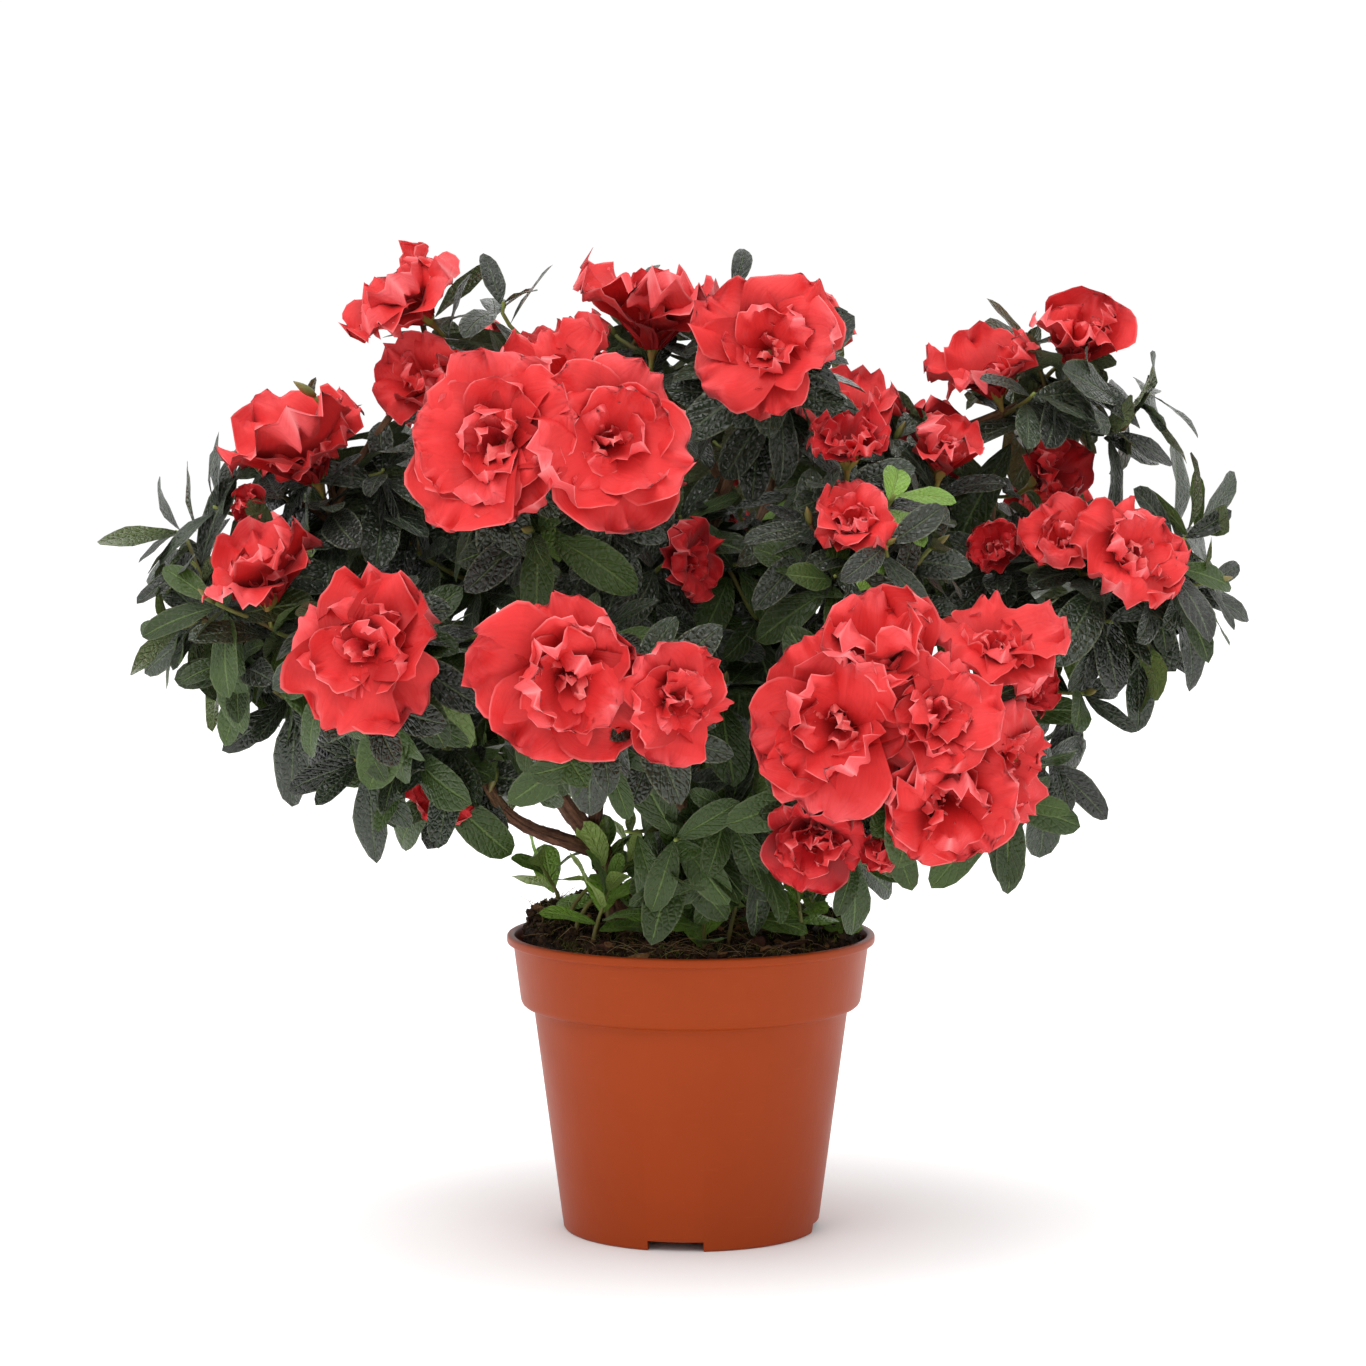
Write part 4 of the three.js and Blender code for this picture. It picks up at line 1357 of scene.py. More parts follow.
@dataclass
class Petals:
    """Many petals at once, each a ruffled sheet on a grid from its claw to its margin.

    The spine leaves the calyx steeply and bends outwards from one pitch to another. The half-width swells as a sine
    from the claw, then rounds off as a blunt superellipse. The sheet is a trough at its foot. A broad wave crosses
    it, and short waves run round its margin: their phase is the angle round the petal's middle, and their height a
    power of the nearness to the margin. The whole petal turns a little about its spine.
    """

    base: np.ndarray
    axis: np.ndarray
    turn: np.ndarray
    length: np.ndarray
    half: np.ndarray
    start: np.ndarray
    pitches: np.ndarray
    roll: np.ndarray
    ruffle: np.ndarray
    waves: np.ndarray
    phases: np.ndarray
    rows: int = 13
    columns: int = 27

    def grid(self) -> np.ndarray:
        """The petals' points, shaped (petals, rows, columns, 3).

        Returns:
            The points.
        """
        v = np.sin(0.5 * math.pi * np.linspace(0, 1, self.rows))
        s = np.linspace(-1, 1, self.columns)
        s = 0.75 * s + 0.25 * np.sin(0.5 * math.pi * s)
        side, third = along_and_across(np.zeros_like(self.axis), self.axis)
        out = np.cos(self.turn)[:, None] * side + np.sin(self.turn)[:, None] * third
        tangent = np.cross(self.axis, out)
        first, last, curl = (np.radians(self.pitches[:, k, None]) for k in range(3))
        pitch = first + (last - first) * smooth(0.05, 0.5, v) - curl * smooth(0.5, 1.0, v)
        way = np.cos(pitch)[..., None] * out[:, None] + np.sin(pitch)[..., None] * self.axis[:, None]
        normal = np.cos(pitch)[..., None] * self.axis[:, None] - np.sin(pitch)[..., None] * out[:, None]
        lean = (self.roll[:, None] * smooth(0.1, 0.9, v))[..., None]
        across = np.cos(lean) * tangent[:, None] + np.sin(lean) * normal
        normal = np.cos(lean) * normal - np.sin(lean) * tangent[:, None]
        steps = np.diff(v, prepend=0)[None, :, None] * self.length[:, None, None]
        spine = (self.base + self.start[:, None] * out)[:, None] + np.cumsum(way * steps, axis=1)
        swell = 0.2 + 0.8 * np.sin(0.5 * math.pi * np.clip(v / 0.64, 0, 1)) ** 1.25
        blunt = (1 - np.clip((v - 0.42) / 0.58, 0, 1) ** 2.5) ** (1 / 2.5)
        shape = swell * blunt
        half = self.half[:, None] * shape
        v, s, shape = v[:, None], s[None, :], shape[:, None]
        around = np.arctan2(s * shape, v - 0.45)
        near = np.abs(s) ** 3 * smooth(0.2, 0.7, v) * (1 - v**6) + v**6
        first, second, third = (self.waves[:, k, None, None] for k in range(3))
        a, b, c = (self.phases[:, k, None, None] for k in range(3))
        broad = v**1.2 * np.sin(first * s + a + 1.6 * v) * (0.35 + 0.65 * np.abs(s))
        frill = near * (0.8 * np.sin(second * around + b) + 0.55 * smooth(0.35, 0.8, v) * np.sin(third * around + c))
        trough = 0.8 * s**2 * np.maximum(1 - 1.7 * v, 0)
        rise = self.half[:, None, None] * (self.ruffle[:, None, None] * broad + 0.19 * frill + trough * shape)
        slide = self.length[:, None, None] * near * 0.025 * np.sin(second * 1.2 * around + a)
        return (spine[:, :, None] + (half[..., None] * s)[..., None] * across[:, :, None]
                + rise[..., None] * normal[:, :, None] + slide[..., None] * way[:, :, None])


@dataclass(frozen=True)
class Whorl:
    """One whorl of petals in a bloom.

    count is how many petals; length their share of the bloom's outer petals' length, and half their half-width as a
    share of their own length. pitches are the first and last pitch and the margin's curl, in degrees. loose is how much
    the last pitch differs from petal to petal, and ruffle how deep the waves are.
    """

    count: int
    length: float
    half: float
    pitches: tuple[float, float, float]
    loose: float
    ruffle: float

    def laid(self, bloom: Bloom, turn: float, random: np.random.Generator) -> dict[str, np.ndarray]:
        """The fields of Petals for this whorl in a bloom, turned by an angle about its axis.

        Args:
            bloom: the bloom.
            turn: the angle, in radians.
            random: the dice.

        Returns:
            A value for each petal, by field.
        """
        count = self.count
        size = bloom.petal_length * self.length * (1 + 0.08 * random.normal(size=count)).clip(0.75, 1.2)
        return {
            "base": np.repeat(bloom.base[None], count, axis=0),
            "axis": np.repeat(bloom.facing[None], count, axis=0),
            "turn": turn + 2 * math.pi * np.arange(count) / count + random.normal(0, 0.13, count),
            "length": size,
            "half": size * self.half * random.uniform(0.9, 1.12, count),
            "start": (0.8 + 0.7 * (np.arange(count) % 2)) * MM,
            "pitches": np.array(self.pitches) + random.normal(size=(count, 3)) * [4, self.loose, 8],
            "roll": random.normal(0, 0.16, count),
            "ruffle": self.ruffle * random.uniform(0.7, 1.35, count),
            "waves": random.uniform((2.0, 5.5, 10.0), (4.0, 8.5, 15.0), (count, 3)),
            "phases": random.uniform(0, 2 * math.pi, (count, 3)),
        }


@dataclass
class Blossom:
    """All the blooms: whorls of ruffled petals round a heart of small crumpled ones, in their calyxes."""

    blooms: list[Bloom]

    def whorls(self, bloom: Bloom) -> list[Whorl]:
        """A bloom's whorls from the outside in: outer, inner, crown and heart.

        Args:
            bloom: the bloom.

        Returns:
            Its whorls.
        """
        low, high, curl = bloom.habit.value
        inner = dice(f"{bloom.mass} {bloom.across} {bloom.up}").uniform(0.62, 0.88)
        whorls = [Whorl(5, 1.0, 0.60, (80, low, curl), 11, 0.27),
                  Whorl(5, inner, 0.56, (82, high, 0.7 * curl), 13, 0.38)]
        if bloom.habit is not Habit.BUD:
            whorls += [Whorl(3, 0.7 * inner, 0.50, (84, 0.5 * high + 38, 12), 11, 0.45),
                       Whorl(6, 0.52 * inner, 0.36, (86, 68, 10), 14, 0.6)]
        return whorls

    def build(self) -> None:
        """Makes the petals, kind by kind, and the calyxes."""
        random = dice("petals")
        pieces: dict[tuple[str, int], list] = {}
        for bloom in self.blooms:
            turn = random.uniform(0, 2 * math.pi)
            for layer, whorl in enumerate(self.whorls(bloom)):
                kind = ("heart", 0) if layer == 3 else (bloom.tint.value, layer)
                laid = whorl.laid(bloom, turn + layer * math.pi / 5, random)
                pieces.setdefault(kind, []).append(laid)
        finishes = {"coral": PETAL_CORAL, "deep": PETAL_DEEP, "heart": PETAL_PALE}
        for (kind, layer), laid in pieces.items():
            size = {"rows": 8, "columns": 11} if kind == "heart" else {"rows": 10, "columns": 19} if layer == 2 else {}
            self.build_petals(f"petals_{kind}_{layer}", finishes[kind], laid, **size)
        self.build_calyxes()

    def build_petals(self, name: str, finish: Finish, laid: list[dict], **size: int) -> None:
        """Makes one piece of petals from whorls' values.

        Args:
            name: the piece's name.
            finish: its finish.
            laid: the whorls' values.
            size: rows and columns, if not the usual.
        """
        values = {key: np.concatenate([whorl[key] for whorl in laid]) for key in laid[0]}
        tone = dice(name).normal(0, 0.5, len(values["turn"]))
        surface = Surface(name)
        surface.add(Petals(**values, **size).grid(), tone=tone)
        finish_piece(surface.build(), finish)

    def build_calyxes(self) -> None:
        """Flower stalks, and the small pointed scales round each bloom's foot."""
        random = dice("calyxes")
        count = 9
        base = np.repeat([bloom.base - bloom.facing * 2.5 * MM for bloom in self.blooms], count, axis=0)
        axis = np.repeat([bloom.facing for bloom in self.blooms], count, axis=0)
        turn = np.tile(np.arange(count) * GOLDEN_TURN, len(self.blooms)) + random.normal(0, 0.2, len(base))
        side, third = along_and_across(np.zeros_like(axis), axis)
        out = np.cos(turn)[:, None] * side + np.sin(turn)[:, None] * third
        along = unit(out * random.uniform(0.35, 0.9, (len(base), 1)) + axis)
        blades = Blades(base + out * 1.2 * MM, along, -out + 0.3 * axis, random.uniform(6.5, 11, len(base)) * MM,
                        random.uniform(2.8, 4.4, len(base)) * MM, bend=-0.5, fold=0.3,
                        stations=(0, 0.2, 0.5, 0.8, 1))
        surface = Surface("bud_scales")
        surface.add(blades.grid(), tone=random.random(len(base)))
        finish_piece(surface.build(), SCALE)
        stalks = np.stack([hermite(bloom.base - bloom.facing * 9 * MM, bloom.facing * 9 * MM,
                                   bloom.base + bloom.facing * 1 * MM, bloom.facing * 9 * MM, 5)
                           for bloom in self.blooms])
        surface = Surface("flower_stalks")
        radii = np.repeat(np.array([[0.9, 0.9, 1.1, 1.9, 2.1]]) * MM, len(stalks), axis=0)
        surface.add(tubes(stalks, radii, 9), closed=True)
        finish_piece(surface.build(), SCALE)


# ------------------------------------------------------------------------------------------------ foliage


# Shoots that reach out of the crown: the tip's place in millimetres, and the way that it grows.
REACHING = [
    ((-178, -20, 276), (-0.75, -0.3, 0.5)),
    ((-186, -26, 256), (-0.6, -0.6, 0.45)),
    ((-182, -34, 236), (-0.5, -0.75, 0.3)),
    ((-168, -46, 220), (-0.45, -0.8, 0.3)),
    ((-150, -36, 206), (-0.35, -0.85, 0.2)),
    ((-122, -50, 184), (-0.3, -0.85, 0.2)),
    ((-96, -38, 172), (-0.25, -0.9, 0.15)),
    ((-140, -30, 318), (-0.7, -0.4, 0.5)),
    ((-70, -10, 352), (0.5, -0.3, 0.8)),
    ((16, -24, 356), (0.3, -0.5, 0.8)),
    ((146, -10, 322), (0.75, -0.4, 0.45)),
    ((162, -4, 304), (0.6, -0.65, 0.3)),
    ((184, -20, 264), (0.7, -0.55, 0.4)),
    ((186, -18, 244), (0.6, -0.7, 0.25)),
    ((172, -26, 226), (0.5, -0.8, 0.2)),
    ((146, -40, 208), (0.4, -0.85, 0.2)),
    ((134, -56, 184), (0.4, -0.85, 0.15)),
    ((116, -74, 172), (0.3, -0.9, 0.1)),
    ((62, -48, 148), (0.35, -0.9, 0.1)),
    ((-194, -8, 266), (-0.95, -0.15, 0.1)),
    ((192, -6, 266), (0.95, -0.2, 0.1)),
    ((172, -6, 318), (0.9, -0.1, 0.3)),
    ((2, -58, 160), (0.35, -0.3, 0.65)),
    ((26, -60, 150), (0.7, -0.3, 0.4)),
    ((-84, 12, 246), (-0.4, -0.5, 0.4)),
    ((-104, 4, 258), (-0.3, -0.6, 0.5)),
    ((-70, 24, 254), (-0.2, -0.7, 0.5)),
    ((-108, 12, 280), (-0.4, -0.5, 0.6)),
    ((-88, 40, 272), (-0.2, 0.3, 0.9)),
    ((-104, 30, 292), (-0.5, 0.2, 0.8)),
    ((12, -56, 212), (0.1, -0.5, 0.6)),
]


# Where the crown stands open in front of the stems' feet, to the left.
OPENING = np.array([(-66, -150, 100), (-24, -2, 170)]) * MM


@dataclass
class Foliage:
    """The crown: shoots that fill the masses, their whorls of leaves, and the buds at their tips.

    inset is how far tips lie inside a mass, tries the candidates on each, and spacing the usual gap between two.
    leaf_shape is width over length, and longer_leaf what reaching shoots add. Leaves are green below a share that
    falls with height, and fresh above another. bloom_room is the share of a bloom's radius kept clear of leaves, and
    stray how far a leaf may pass the CAD model's box.
    """

    blooms: list[Bloom]
    branching: Branching
    inset: float = 17 * MM
    tries: int = 72
    spacing: float = 17.5 * MM
    leaves_on_a_shoot: tuple[int, int] = (6, 9)
    leaf_length: tuple[float, float] = (30 * MM, 43 * MM)
    leaf_shape: float = 0.39
    longer_leaf: float = 4 * MM
    twig_leaf_length: tuple[float, float] = (20 * MM, 34 * MM)
    twig_leaf_share: float = 0.45
    bud_share: float = 0.45
    green_at_foot: float = 1.0
    green_fall: float = 1.35
    fresh_above: float = 0.955
    bloom_room: float = 0.95
    stray: float = 9 * MM

    def crown_middle(self) -> np.ndarray:
        """The middle of the crown's hidden heart."""
        return MASSES["core"].middle

    def tips(self) -> tuple[np.ndarray, np.ndarray]:
        """Shoot tips over every mass, evenly spaced, and the ways that they grow.

        Directions spread evenly over a sphere put candidates on an ellipsoid inset in each mass. Those that face the
        crown's middle are mostly left out, as are those too near to another tip or in front of a bloom.

        Returns:
            The tips and their unit ways.
        """
        random = dice("tips")
        order = np.arange(self.tries) + 0.5
        high = 1 - 2 * order / self.tries
        turn = GOLDEN_TURN * order
        sphere = np.stack([np.sqrt(1 - high**2) * np.cos(turn), np.sqrt(1 - high**2) * np.sin(turn), high], axis=-1)
        places, ways, ranks = [], [], []
        for box in MASSES.values():
            inner = np.maximum(box.half - self.inset, 0.35 * box.half)
            place = box.middle + sphere * inner
            outward = unit(box.middle - self.crown_middle() + 1e-6)
            faces = sphere @ outward
            radial = unit(place - self.crown_middle())
            way = unit(0.5 * unit(sphere / inner) + 0.5 * radial + 0.35 * UP + 0.12 * random.normal(size=place.shape))
            kept = faces > np.where(random.random(self.tries) < 0.25, -1.0, -0.1)
            inside = unit(random.normal(size=(7, 3)))
            places.append(np.concatenate([place[kept], box.middle + 0.34 * box.half * inside]))
            ways.append(np.concatenate([way[kept], unit(inside + radial[:7] + 0.3 * UP)]))
            ranks.append(-np.linalg.norm((places[-1] - self.crown_middle()) / CROWN_HALF, axis=-1))
        places, ways = np.concatenate(places), np.concatenate(ways)
        order = np.argsort(np.concatenate(ranks) + 0.25 * random.random(len(places)))
        reaching = np.array([place for place, _ in REACHING]) * MM
        chosen = [bloom.base for bloom in self.blooms] + list(reaching)
        picked = []
        for index in order:
            gaps = np.linalg.norm(np.array(chosen) - places[index], axis=-1)
            if gaps.min() > self.spacing * (0.85 + 0.3 * random.random()) and not self.covers(places[index][None])[0]:
                chosen.append(places[index])
                picked.append(index)
        out = unit(np.array([way for _, way in REACHING]))
        return np.concatenate([reaching, places[picked]]), np.concatenate([out, ways[picked]])

    def covers(self, points: np.ndarray, room: float = 0.8) -> np.ndarray:
        """Whether points lie inside a bloom, between its throat and a little past its face.

        Args:
            points: shaped (n, 3).
            room: the share of the bloom's radius that counts.

        Returns:
            One truth value for each point.
        """
        inside = np.zeros(len(points), bool)
        for bloom in self.blooms:
            away = points - bloom.base
            height = away @ bloom.facing
            across = np.linalg.norm(away - height[:, None] * bloom.facing, axis=-1)
            open_share = math.cos(math.radians(bloom.habit.value[0]) * 0.8)
            widest = room * bloom.petal_length * open_share * smooth(0, 0.35 * bloom.petal_length, height)
            inside |= (height > 0) & (height < 1.05 * bloom.petal_length) & (across < widest)
        return inside

    def whorls(self, tips: np.ndarray, ways: np.ndarray, counts: np.ndarray, sizes: np.ndarray, low: float,
               name: str, reach: float = 12 * MM) -> tuple[Blades, np.ndarray]:
        """Leaves round shoot tips, turned by the golden angle from each to the next, the lowest spread the widest.

        Args:
            tips: shoot tips, shaped (n, 3).
            ways: their unit ways.
            counts: leaves on each.
            sizes: the length of each shoot's largest leaves.
            low: the lowest leaves' pitch above square to the shoot, in radians.
            name: picks the pattern.
            reach: how much of the shoot they leave from.

        Returns:
            The blades, and for each the number of its shoot.
        """
        random = dice(name)
        shoot = np.repeat(np.arange(len(tips)), counts)
        rank = np.concatenate([np.arange(count) for count in counts])
        share = rank / np.maximum(counts[shoot] - 1, 1)
        total = len(shoot)
        axis = ways[shoot]
        side, third = along_and_across(np.zeros_like(axis), axis)
        turn = rank * GOLDEN_TURN + random.uniform(0, 2 * math.pi, len(tips))[shoot] + random.normal(0, 0.22, total)
        out = np.cos(turn)[:, None] * side + np.sin(turn)[:, None] * third
        pitch = low + 0.95 * share**1.3 + random.normal(0, 0.16, total)
        along = np.cos(pitch)[:, None] * out + np.sin(pitch)[:, None] * axis
        low_down = smooth(0.6, 0.1, (tips[shoot, 2] - CROWN_LOW[2]) / (2 * CROWN_HALF[2]))[:, None]
        droop = random.uniform(0.05, 0.42, (total, 1)) + 0.5 * low_down * (low < 0)
        along = unit(along - UP * droop * (1 - 0.6 * share)[:, None])
        face = np.cos(pitch)[:, None] * axis - np.sin(pitch)[:, None] * out
        outward = unit(tips[shoot] * [0.2, 1.6, 0])
        face = unit(face + 0.3 * UP + 0.45 * outward + 0.1 * random.normal(size=face.shape))
        length = sizes[shoot] * (1 - 0.42 * share**1.5) * random.uniform(0.82, 1.08, total)
        base = tips[shoot] - axis * ((1 - share) * reach)[:, None] + out * 0.8 * MM
        blades = Blades(base, along, face, length, length * self.leaf_shape * random.uniform(0.86, 1.14, total))
        blades.bend = random.uniform(0.1, 0.85, total)
        blades.fold = random.uniform(0.12, 0.42, total)
        blades.sway = random.normal(0, 0.13, total)
        blades.twist = random.normal(0, 0.22, total)
        blades.phase = random.random(total)
        return blades, shoot

    def fitting(self, blades: Blades) -> np.ndarray:
        """Which blades stay in the crown: not in a bloom, not through the pot or the soil, and not too far out.

        Args:
            blades: the leaves.

        Returns:
            One truth value for each blade.
        """
        low, high = np.array(CAD_BOX[0]) - self.stray, np.array(CAD_BOX[1]) + self.stray
        kept = np.ones(len(blades.base), bool)
        grid = blades.grid()
        pot = Box.of("pot")
        for row in (2, 4, 6, 8):
            points = grid[:, row, 2]
            kept &= ~self.covers(points, self.bloom_room) & (points > low).all(-1) & (points < high).all(-1)
            near = np.hypot(points[:, 0], points[:, 1])
            kept &= ~((near < pot.half[0] + 2 * MM) & (points[:, 2] < pot.high[2] + 2 * MM))
            kept &= ~((points > OPENING[0]) & (points < OPENING[1])).all(-1)
        return kept

    def build(self) -> tuple[dict[str, list[Blades]], np.ndarray, np.ndarray]:
        """Grows the branches to every shoot, and lays out the leaves.

        Returns:
            The blades of each kind of leaf, the leafy shoots' tips, and their ways.
        """
        random = dice("foliage")
        middle = self.crown_middle()
        hubs = sorted(MASSES, key=lambda name: np.linalg.norm(MASSES[name].middle - middle * [1, 1, 0.6]))
        for name in hubs:
            hub = MASSES[name].middle
            self.branching.grow(hub, unit(hub - middle + 0.04 * UP), old=True)
        tips, ways = self.tips()
        flower_tips = np.array([bloom.base - bloom.facing * 8 * MM for bloom in self.blooms])
        flower_ways = np.array([bloom.facing for bloom in self.blooms])
        everything = np.concatenate([flower_tips, tips])
        every_way = np.concatenate([flower_ways, ways])
        for index in np.argsort(np.linalg.norm(everything - middle, axis=-1)):
            self.branching.grow(everything[index], every_way[index])
        self.branching.build()
        log.info("%d leafy shoots, %d blooms", len(tips), len(self.blooms))

        low, high = self.leaf_length
        longer = np.where(np.arange(len(tips)) < len(REACHING), self.longer_leaf, 0)
        sets = [
            self.whorls(tips, ways, random.integers(*self.leaves_on_a_shoot, len(tips)),
                        random.uniform(low, high, len(tips)) + longer, -0.15, "shoot leaves"),
            self.whorls(flower_tips, flower_ways, random.integers(6, 9, len(flower_tips)),
                        random.uniform(34, 46, len(flower_tips)) * MM, -0.1, "flower leaves"),
            self.twig_leaves(),
        ]
        kinds = {LEAF_DARK: [], LEAF_GREEN: [], LEAF_FRESH: []}
        for blades, shoot in sets:
            kept = self.fitting(blades)
            blades, shoot = blades.taken(kept), shoot[kept]
            spray = dice("sprays").random(shoot.max() + 1)[shoot]
            height = (blades.base[:, 2] - CROWN_LOW[2]) / (CROWN_HIGH[2] - CROWN_LOW[2])
            green = spray < self.green_at_foot - self.green_fall * height
            fresh = (spray > self.fresh_above) & ((blades.base[:, 1] > 0) | (height > 0.6))
            for finish, picked in ((LEAF_DARK, ~green & ~fresh), (LEAF_GREEN, green), (LEAF_FRESH, fresh)):
                kinds[finish].append(blades.taken(picked))
        return kinds, tips, ways

    def twig_leaves(self) -> tuple[Blades, np.ndarray]:
        """Smaller leaves along the outer part of every twig.

        Returns:
            The blades, and for each the number of its twig.
        """
        random = dice("twig leaves")
        young = [line for line, old in zip(self.branching.lines, self.branching.old) if not old]
        line = np.stack(young)
        places, ways, owners = [], [], []
        for step in (3, 4, 5, 6):
            taken = random.random(len(line)) < self.twig_leaf_share
            places.append(line[taken, step])
            ways.append(unit(line[taken, step] - line[taken, step - 1]))
            owners.append(np.flatnonzero(taken))
        place, axis, owner = np.concatenate(places), np.concatenate(ways), np.concatenate(owners)
        total = len(place)
        side, third = along_and_across(np.zeros_like(axis), axis)
        turn = random.uniform(0, 2 * math.pi, total)
        out = np.cos(turn)[:, None] * side + np.sin(turn)[:, None] * third
        along = unit(out + 0.45 * axis - UP * random.uniform(0, 0.4, (total, 1)))
        length = random.uniform(*self.twig_leaf_length, total)
        blades = Blades(place, along, unit(axis + 0.6 * UP - 0.3 * out), length,
                        length * self.leaf_shape * random.uniform(0.86, 1.14, total))
        blades.bend = random.uniform(0.1, 0.9, total)
        blades.fold = random.uniform(0.1, 0.4, total)
        blades.sway = random.normal(0, 0.15, total)
        blades.twist = random.normal(0, 0.25, total)
        blades.phase = random.random(total)
        return blades, owner

    def build_leaves(self, kinds: dict[str, list[Blades]]) -> None:
        """Makes one piece of each kind of leaf.

        Args:
            kinds: the blades by finish.
        """
        for finish, groups in kinds.items():
            surface = Surface(finish.name)
            for blades in groups:
                random = dice(f"{finish.name} {len(blades.base)}")
                surface.add(blades.grid(), tone=random.normal(0, 0.45, len(blades.base)))
            nodes = FOLIAGE_NODES if finish is LEAF_DARK else []
            finish_piece(surface.build(), finish, *nodes)

    def build_buds(self, tips: np.ndarray, ways: np.ndarray) -> None:
        """Pointed terminal buds on nearly half of the shoots: closed tubes that swell and draw in.

        Args:
            tips: shoot tips.
            ways: their unit ways.
        """
        random = dice("buds")
        kept = random.random(len(tips)) < self.bud_share
        tips, ways = tips[kept], ways[kept]
        length = random.uniform(5, 9, len(tips))[:, None] * MM
        line = np.stack([tips + ways * length * share for share in (-0.15, 0.1, 0.35, 0.6, 0.82, 1.0)], axis=1)
        radii = length * np.array([[0.1, 0.17, 0.2, 0.16, 0.09, 0.02]])
        surface = Surface("buds")
        surface.add(tubes(line, radii, 8), closed=True)
        finish_piece(surface.build(), BUD)


def seeded_blooms(placed: list[Bloom], count: int = 34, spacing: float = 50 * MM) -> list[Bloom]:
    """Blooms over the sides, the back and the top, where none has been listed.

    Directions spread evenly over a sphere put candidates on every mass. Those that face the crown's middle or the
    front, or stand too near to another bloom, are left out.

    Args:
        placed: the blooms that already have a place.
        count: how many to add at most.
        spacing: the least gap between two blooms.

    Returns:
        The new blooms.
    """
    random = dice("more blooms")
    heart = MASSES["core"].middle
    tries = 26
    order = np.arange(tries) + 0.5
    high = 1 - 2 * order / tries
    turn = GOLDEN_TURN * order
    sphere = np.stack([np.sqrt(1 - high**2) * np.cos(turn), np.sqrt(1 - high**2) * np.sin(turn), high], axis=-1)
    found, made = [bloom.middle for bloom in placed], []
    options = [(name, way) for name in MASSES for way in sphere]
    for index in random.permutation(len(options)):
        name, way = options[index]
        box = MASSES[name]
        share = 0.8 * way
        bulge = math.sqrt(max(0.08, 1 - share[0] ** 2 - share[2] ** 2))
        place = box.middle + box.half * share
        radial = unit((place - heart) / CROWN_HALF)
        facing = unit(0.45 * way + 0.8 * radial + 0.15 * UP)
        shows = way @ radial > 0.55 and facing[1] > 0.2 and place[1] > 22 * MM
        if not shows or facing[2] < -0.15 or np.linalg.norm(np.array(found) - place, axis=-1).min() < spacing:
            continue
        habit = random.choice(np.array([Habit.OPEN, Habit.CUP, Habit.HALF], dtype=object), p=(0.55, 0.33, 0.12))
        tint = Tint.DEEP if random.random() < 0.2 else Tint.CORAL
        found.append(place)
        made.append(Bloom(name, 0.5 + share[0] / 2, 0.5 + share[2] / 2,
                          math.degrees(math.atan2(facing[0], -facing[1])), math.degrees(math.asin(facing[2])),
                          random.uniform(50, 68), habit, tint, -share[1] / bulge))
        if len(made) == count:
            break
    return made


@dataclass
class Sprouts:
    """Short bright shoots that stand up from the peat round the stems' feet."""

    soil: Soil
    places: tuple = ((-44, -18, 42), (-37, -26, 26), (-31, -14, 34), (-47, -6, 30), (5, -32, 20), (14, -24, 30),
                     (42, -24, 30), (50, -10, 20), (-20, 30, 30), (28, 34, 28), (-50, 12, 22), (2, 46, 24))

    def build(self, foliage: Foliage) -> tuple[Blades, np.ndarray]:
        """Makes the shoots' green stalks.

        Args:
            foliage: gives the leaves their pattern.

        Returns:
            Their leaves, and for each the number of its shoot.
        """
        random = dice("sprouts")
        x, y, rise = (np.array(column) * MM for column in zip(*self.places))
        foot = np.stack([x, y, self.soil.height(x, y) - 1.5 * MM], axis=-1)
        lean = unit(random.normal(size=foot.shape) * [0.35, 0.35, 0] + UP)
        tip = foot + lean * rise[:, None]
        line = hermite(foot, UP * rise[:, None], tip, lean * rise[:, None], 7)
        surface = Surface("sprout_stalks")
        surface.add(tubes(line, np.linspace(0.9, 0.6, 7)[None] * MM * np.ones((len(x), 1)), 7), closed=True)
        finish_piece(surface.build(), YOUNG_BARK)
        counts = random.integers(6, 10, len(x))
        blades, shoot = foliage.whorls(tip, lean, counts, random.uniform(19, 27, len(x)) * MM, 0.5, "sprout leaves",
                                       18 * MM)
        blades.width *= 1.3
        return blades, shoot


# ------------------------------------------------------------------------------------------------ stage


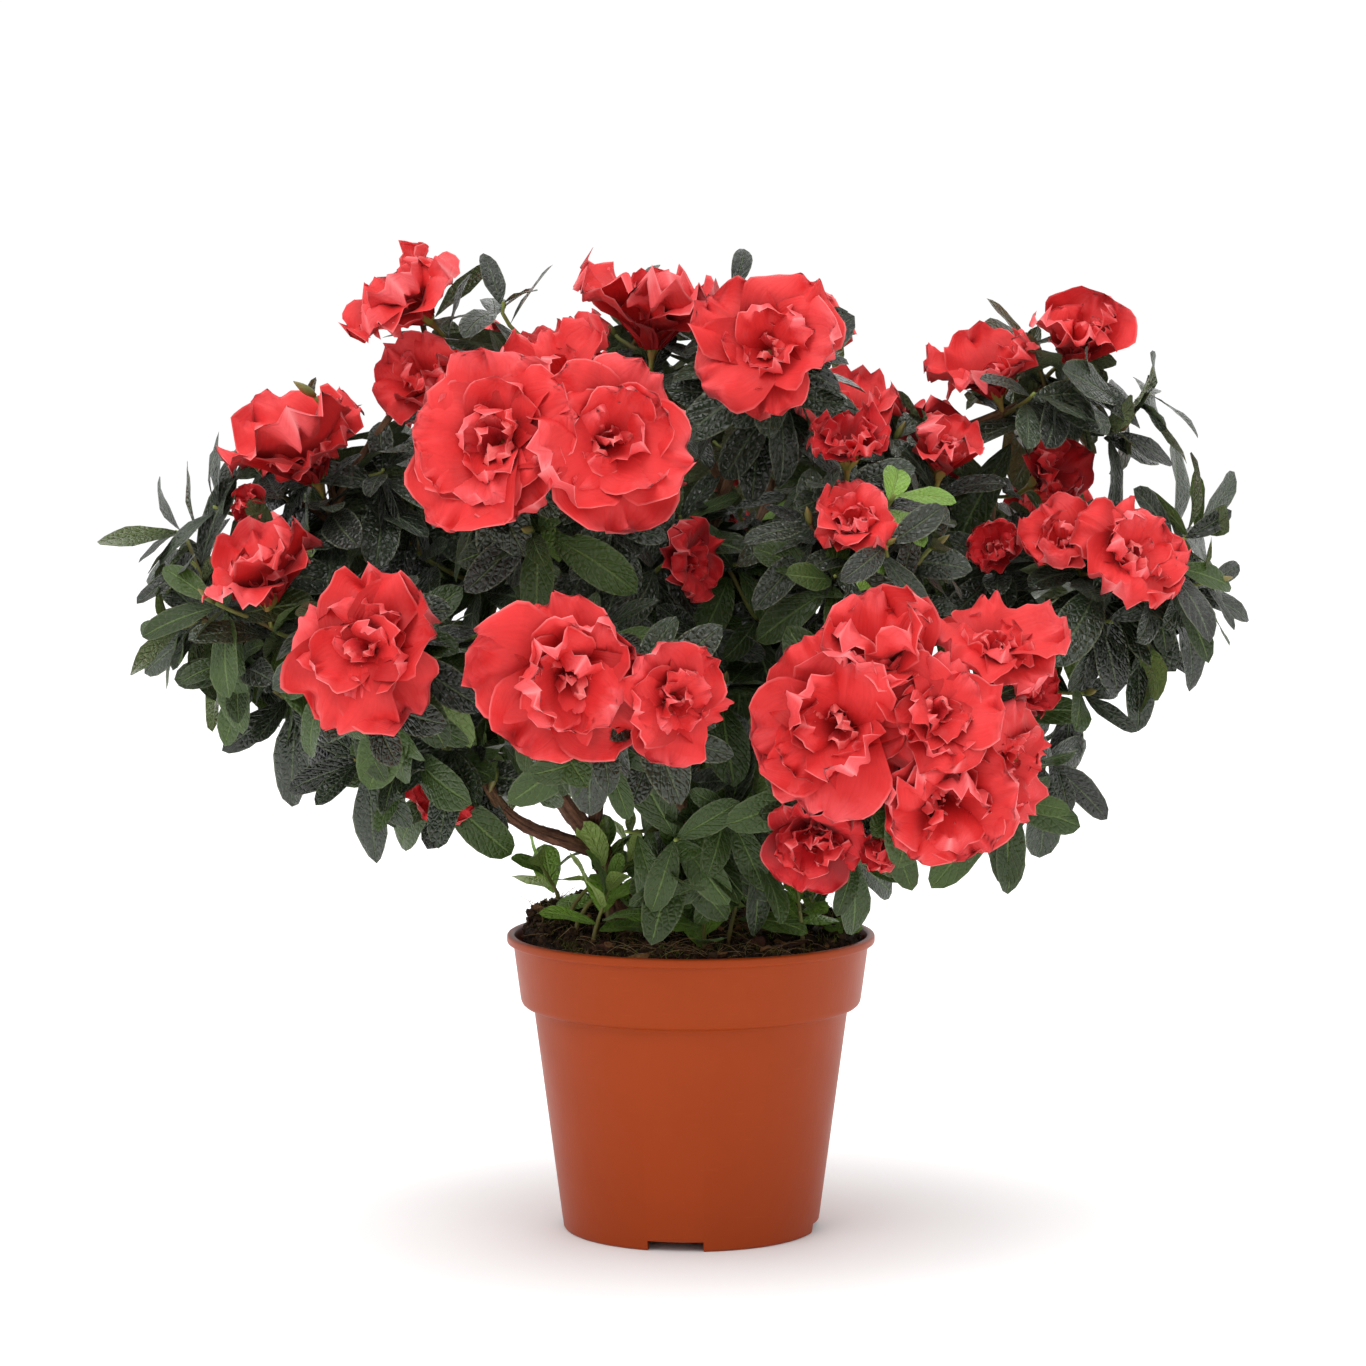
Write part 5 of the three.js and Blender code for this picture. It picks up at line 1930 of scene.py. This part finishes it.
@dataclass
class Stage:
    """A pale floor in a pale room, soft studio light, and the camera."""

    reach: float = 5.0
    eye: tuple[float, float, float] = (-0.003, -1.600, 0.3454)
    tilt: float = 4.9
    lens: float = 111.7

    def build(self) -> None:
        """Makes the floor, the lights, the world and the camera."""
        self.build_floor()
        self.build_lights()
        view = bpy.data.cameras.new("camera")
        view.lens, view.sensor_width = self.lens, 36.0
        view.clip_start, view.clip_end = 0.05, 50.0
        camera = bpy.data.objects.new("camera", view)
        camera.location = self.eye
        camera.rotation_euler = (math.radians(90 - self.tilt), 0, 0)
        bpy.context.scene.collection.objects.link(camera)
        bpy.context.scene.camera = camera
        bpy.context.scene.view_settings.view_transform = "Standard"

    def build_floor(self) -> None:
        """The floor: a flat disc as wide as the eye reaches, that glows a little to look white, with no glow close to
        the pot's foot, which paints a shadow there.
        """
        turn = np.linspace(0, 2 * math.pi, 96, endpoint=False)
        rim = np.stack([np.cos(turn), np.sin(turn), 0 * turn], axis=-1)
        radius = self.reach * np.linspace(0, 1, 5)[:, None, None]
        surface = Surface("floor")
        surface.add((radius * rim)[None], closed=True)
        disc = surface.build()
        paint = bpy.data.materials.new("floor_paint")
        paint.use_nodes = True
        shader = paint.node_tree.nodes["Principled BSDF"]
        shader.inputs["Base Color"].default_value = (0.9, 0.9, 0.9, 1.0)
        shader.inputs["Roughness"].default_value = 0.9
        shader.inputs["Specular IOR Level"].default_value = 0.1
        shader.inputs["Emission Color"].default_value = (1.0, 1.0, 1.0, 1.0)
        nodes = Nodes(paint.node_tree)
        # Painted shadow: no glow within 5 cm of the middle, rising to full at 20 cm, so the floor darkens round the
        # pot's foot.
        away = nodes.add("ShaderNodeVectorMath", {0: nodes.add("ShaderNodeTexCoord").outputs["Object"]},
                         operation="LENGTH").outputs["Value"]
        paint.node_tree.links.new(nodes.span(away, 0.05, 0.2, 0.0, 0.24), shader.inputs["Emission Strength"])
        disc.data.materials.append(paint)

    def build_lights(self) -> None:
        """A key from the upper left, a fill from the right, a broad light overhead, and a pale world."""
        middle = MASSES["core"].middle
        lights = {"key": ((-1.1, -1.5, 2.3), 1.7, 24.0), "fill": ((1.7, -1.7, 1.0), 1.2, 2.5),
                  "top": ((0.0, -0.1, 2.3), 2.0, 15.0), "back": ((0.4, 2.0, 1.4), 1.6, 6.0)}
        for name, (place, size, power) in lights.items():
            light = bpy.data.lights.new(name, "AREA")
            light.shape, light.size, light.energy = "DISK", size, power
            lamp = bpy.data.objects.new(name, light)
            lamp.location = place
            way = unit(middle - np.array(place))
            lamp.rotation_euler = (math.acos(-way[2]), 0, math.atan2(way[1], way[0]) - math.pi / 2)
            lamp.visible_camera = False
            bpy.context.scene.collection.objects.link(lamp)
        world = bpy.data.worlds.new("studio")
        world.use_nodes = True
        world.node_tree.nodes["Background"].inputs["Color"].default_value = (1.0, 1.0, 1.0, 1.0)
        world.node_tree.nodes["Background"].inputs["Strength"].default_value = 1.02
        bpy.context.scene.world = world


# ------------------------------------------------------------------------------------------------ all of it


def build_limbs() -> list[Limb]:
    """Finds every stem and bough, and makes one piece of their bark.

    Returns:
        The limbs, stems first.
    """
    stems = [Limb.of(node, Box.of(node).middle - UP) for node in STEM_NODES]
    wood = np.concatenate([stem.line for stem in stems])
    boughs = []
    for node in BOUGH_NODES:
        gaps = np.linalg.norm(node_points(node)[:, None] - wood[None], axis=-1).min(0)
        boughs.append(Limb.of(node, wood[np.argmin(gaps)]))
    surface = Surface("bark")
    for limb in stems + boughs:
        limb.bark(surface)
    finish_piece(surface.build(), BARK, *STEM_NODES, *BOUGH_NODES)
    return stems + boughs


def main() -> None:
    """Builds the plant from the pot up, and reports each piece."""
    logging.basicConfig(level=logging.INFO, format="%(message)s")
    pot = Pot()
    pot.build()
    soil = Soil(pot)
    soil.build()
    blooms = FRONT_BLOOMS + seeded_blooms(FRONT_BLOOMS)
    foliage = Foliage(blooms, Branching(build_limbs()))
    kinds, tips, ways = foliage.build()
    sprouts, _ = Sprouts(soil).build(foliage)
    kinds[LEAF_FRESH].append(sprouts)
    foliage.build_leaves(kinds)
    foliage.build_buds(tips, ways)
    Blossom(blooms).build()
    Stage().build()


if __name__ == "__main__":
    main()
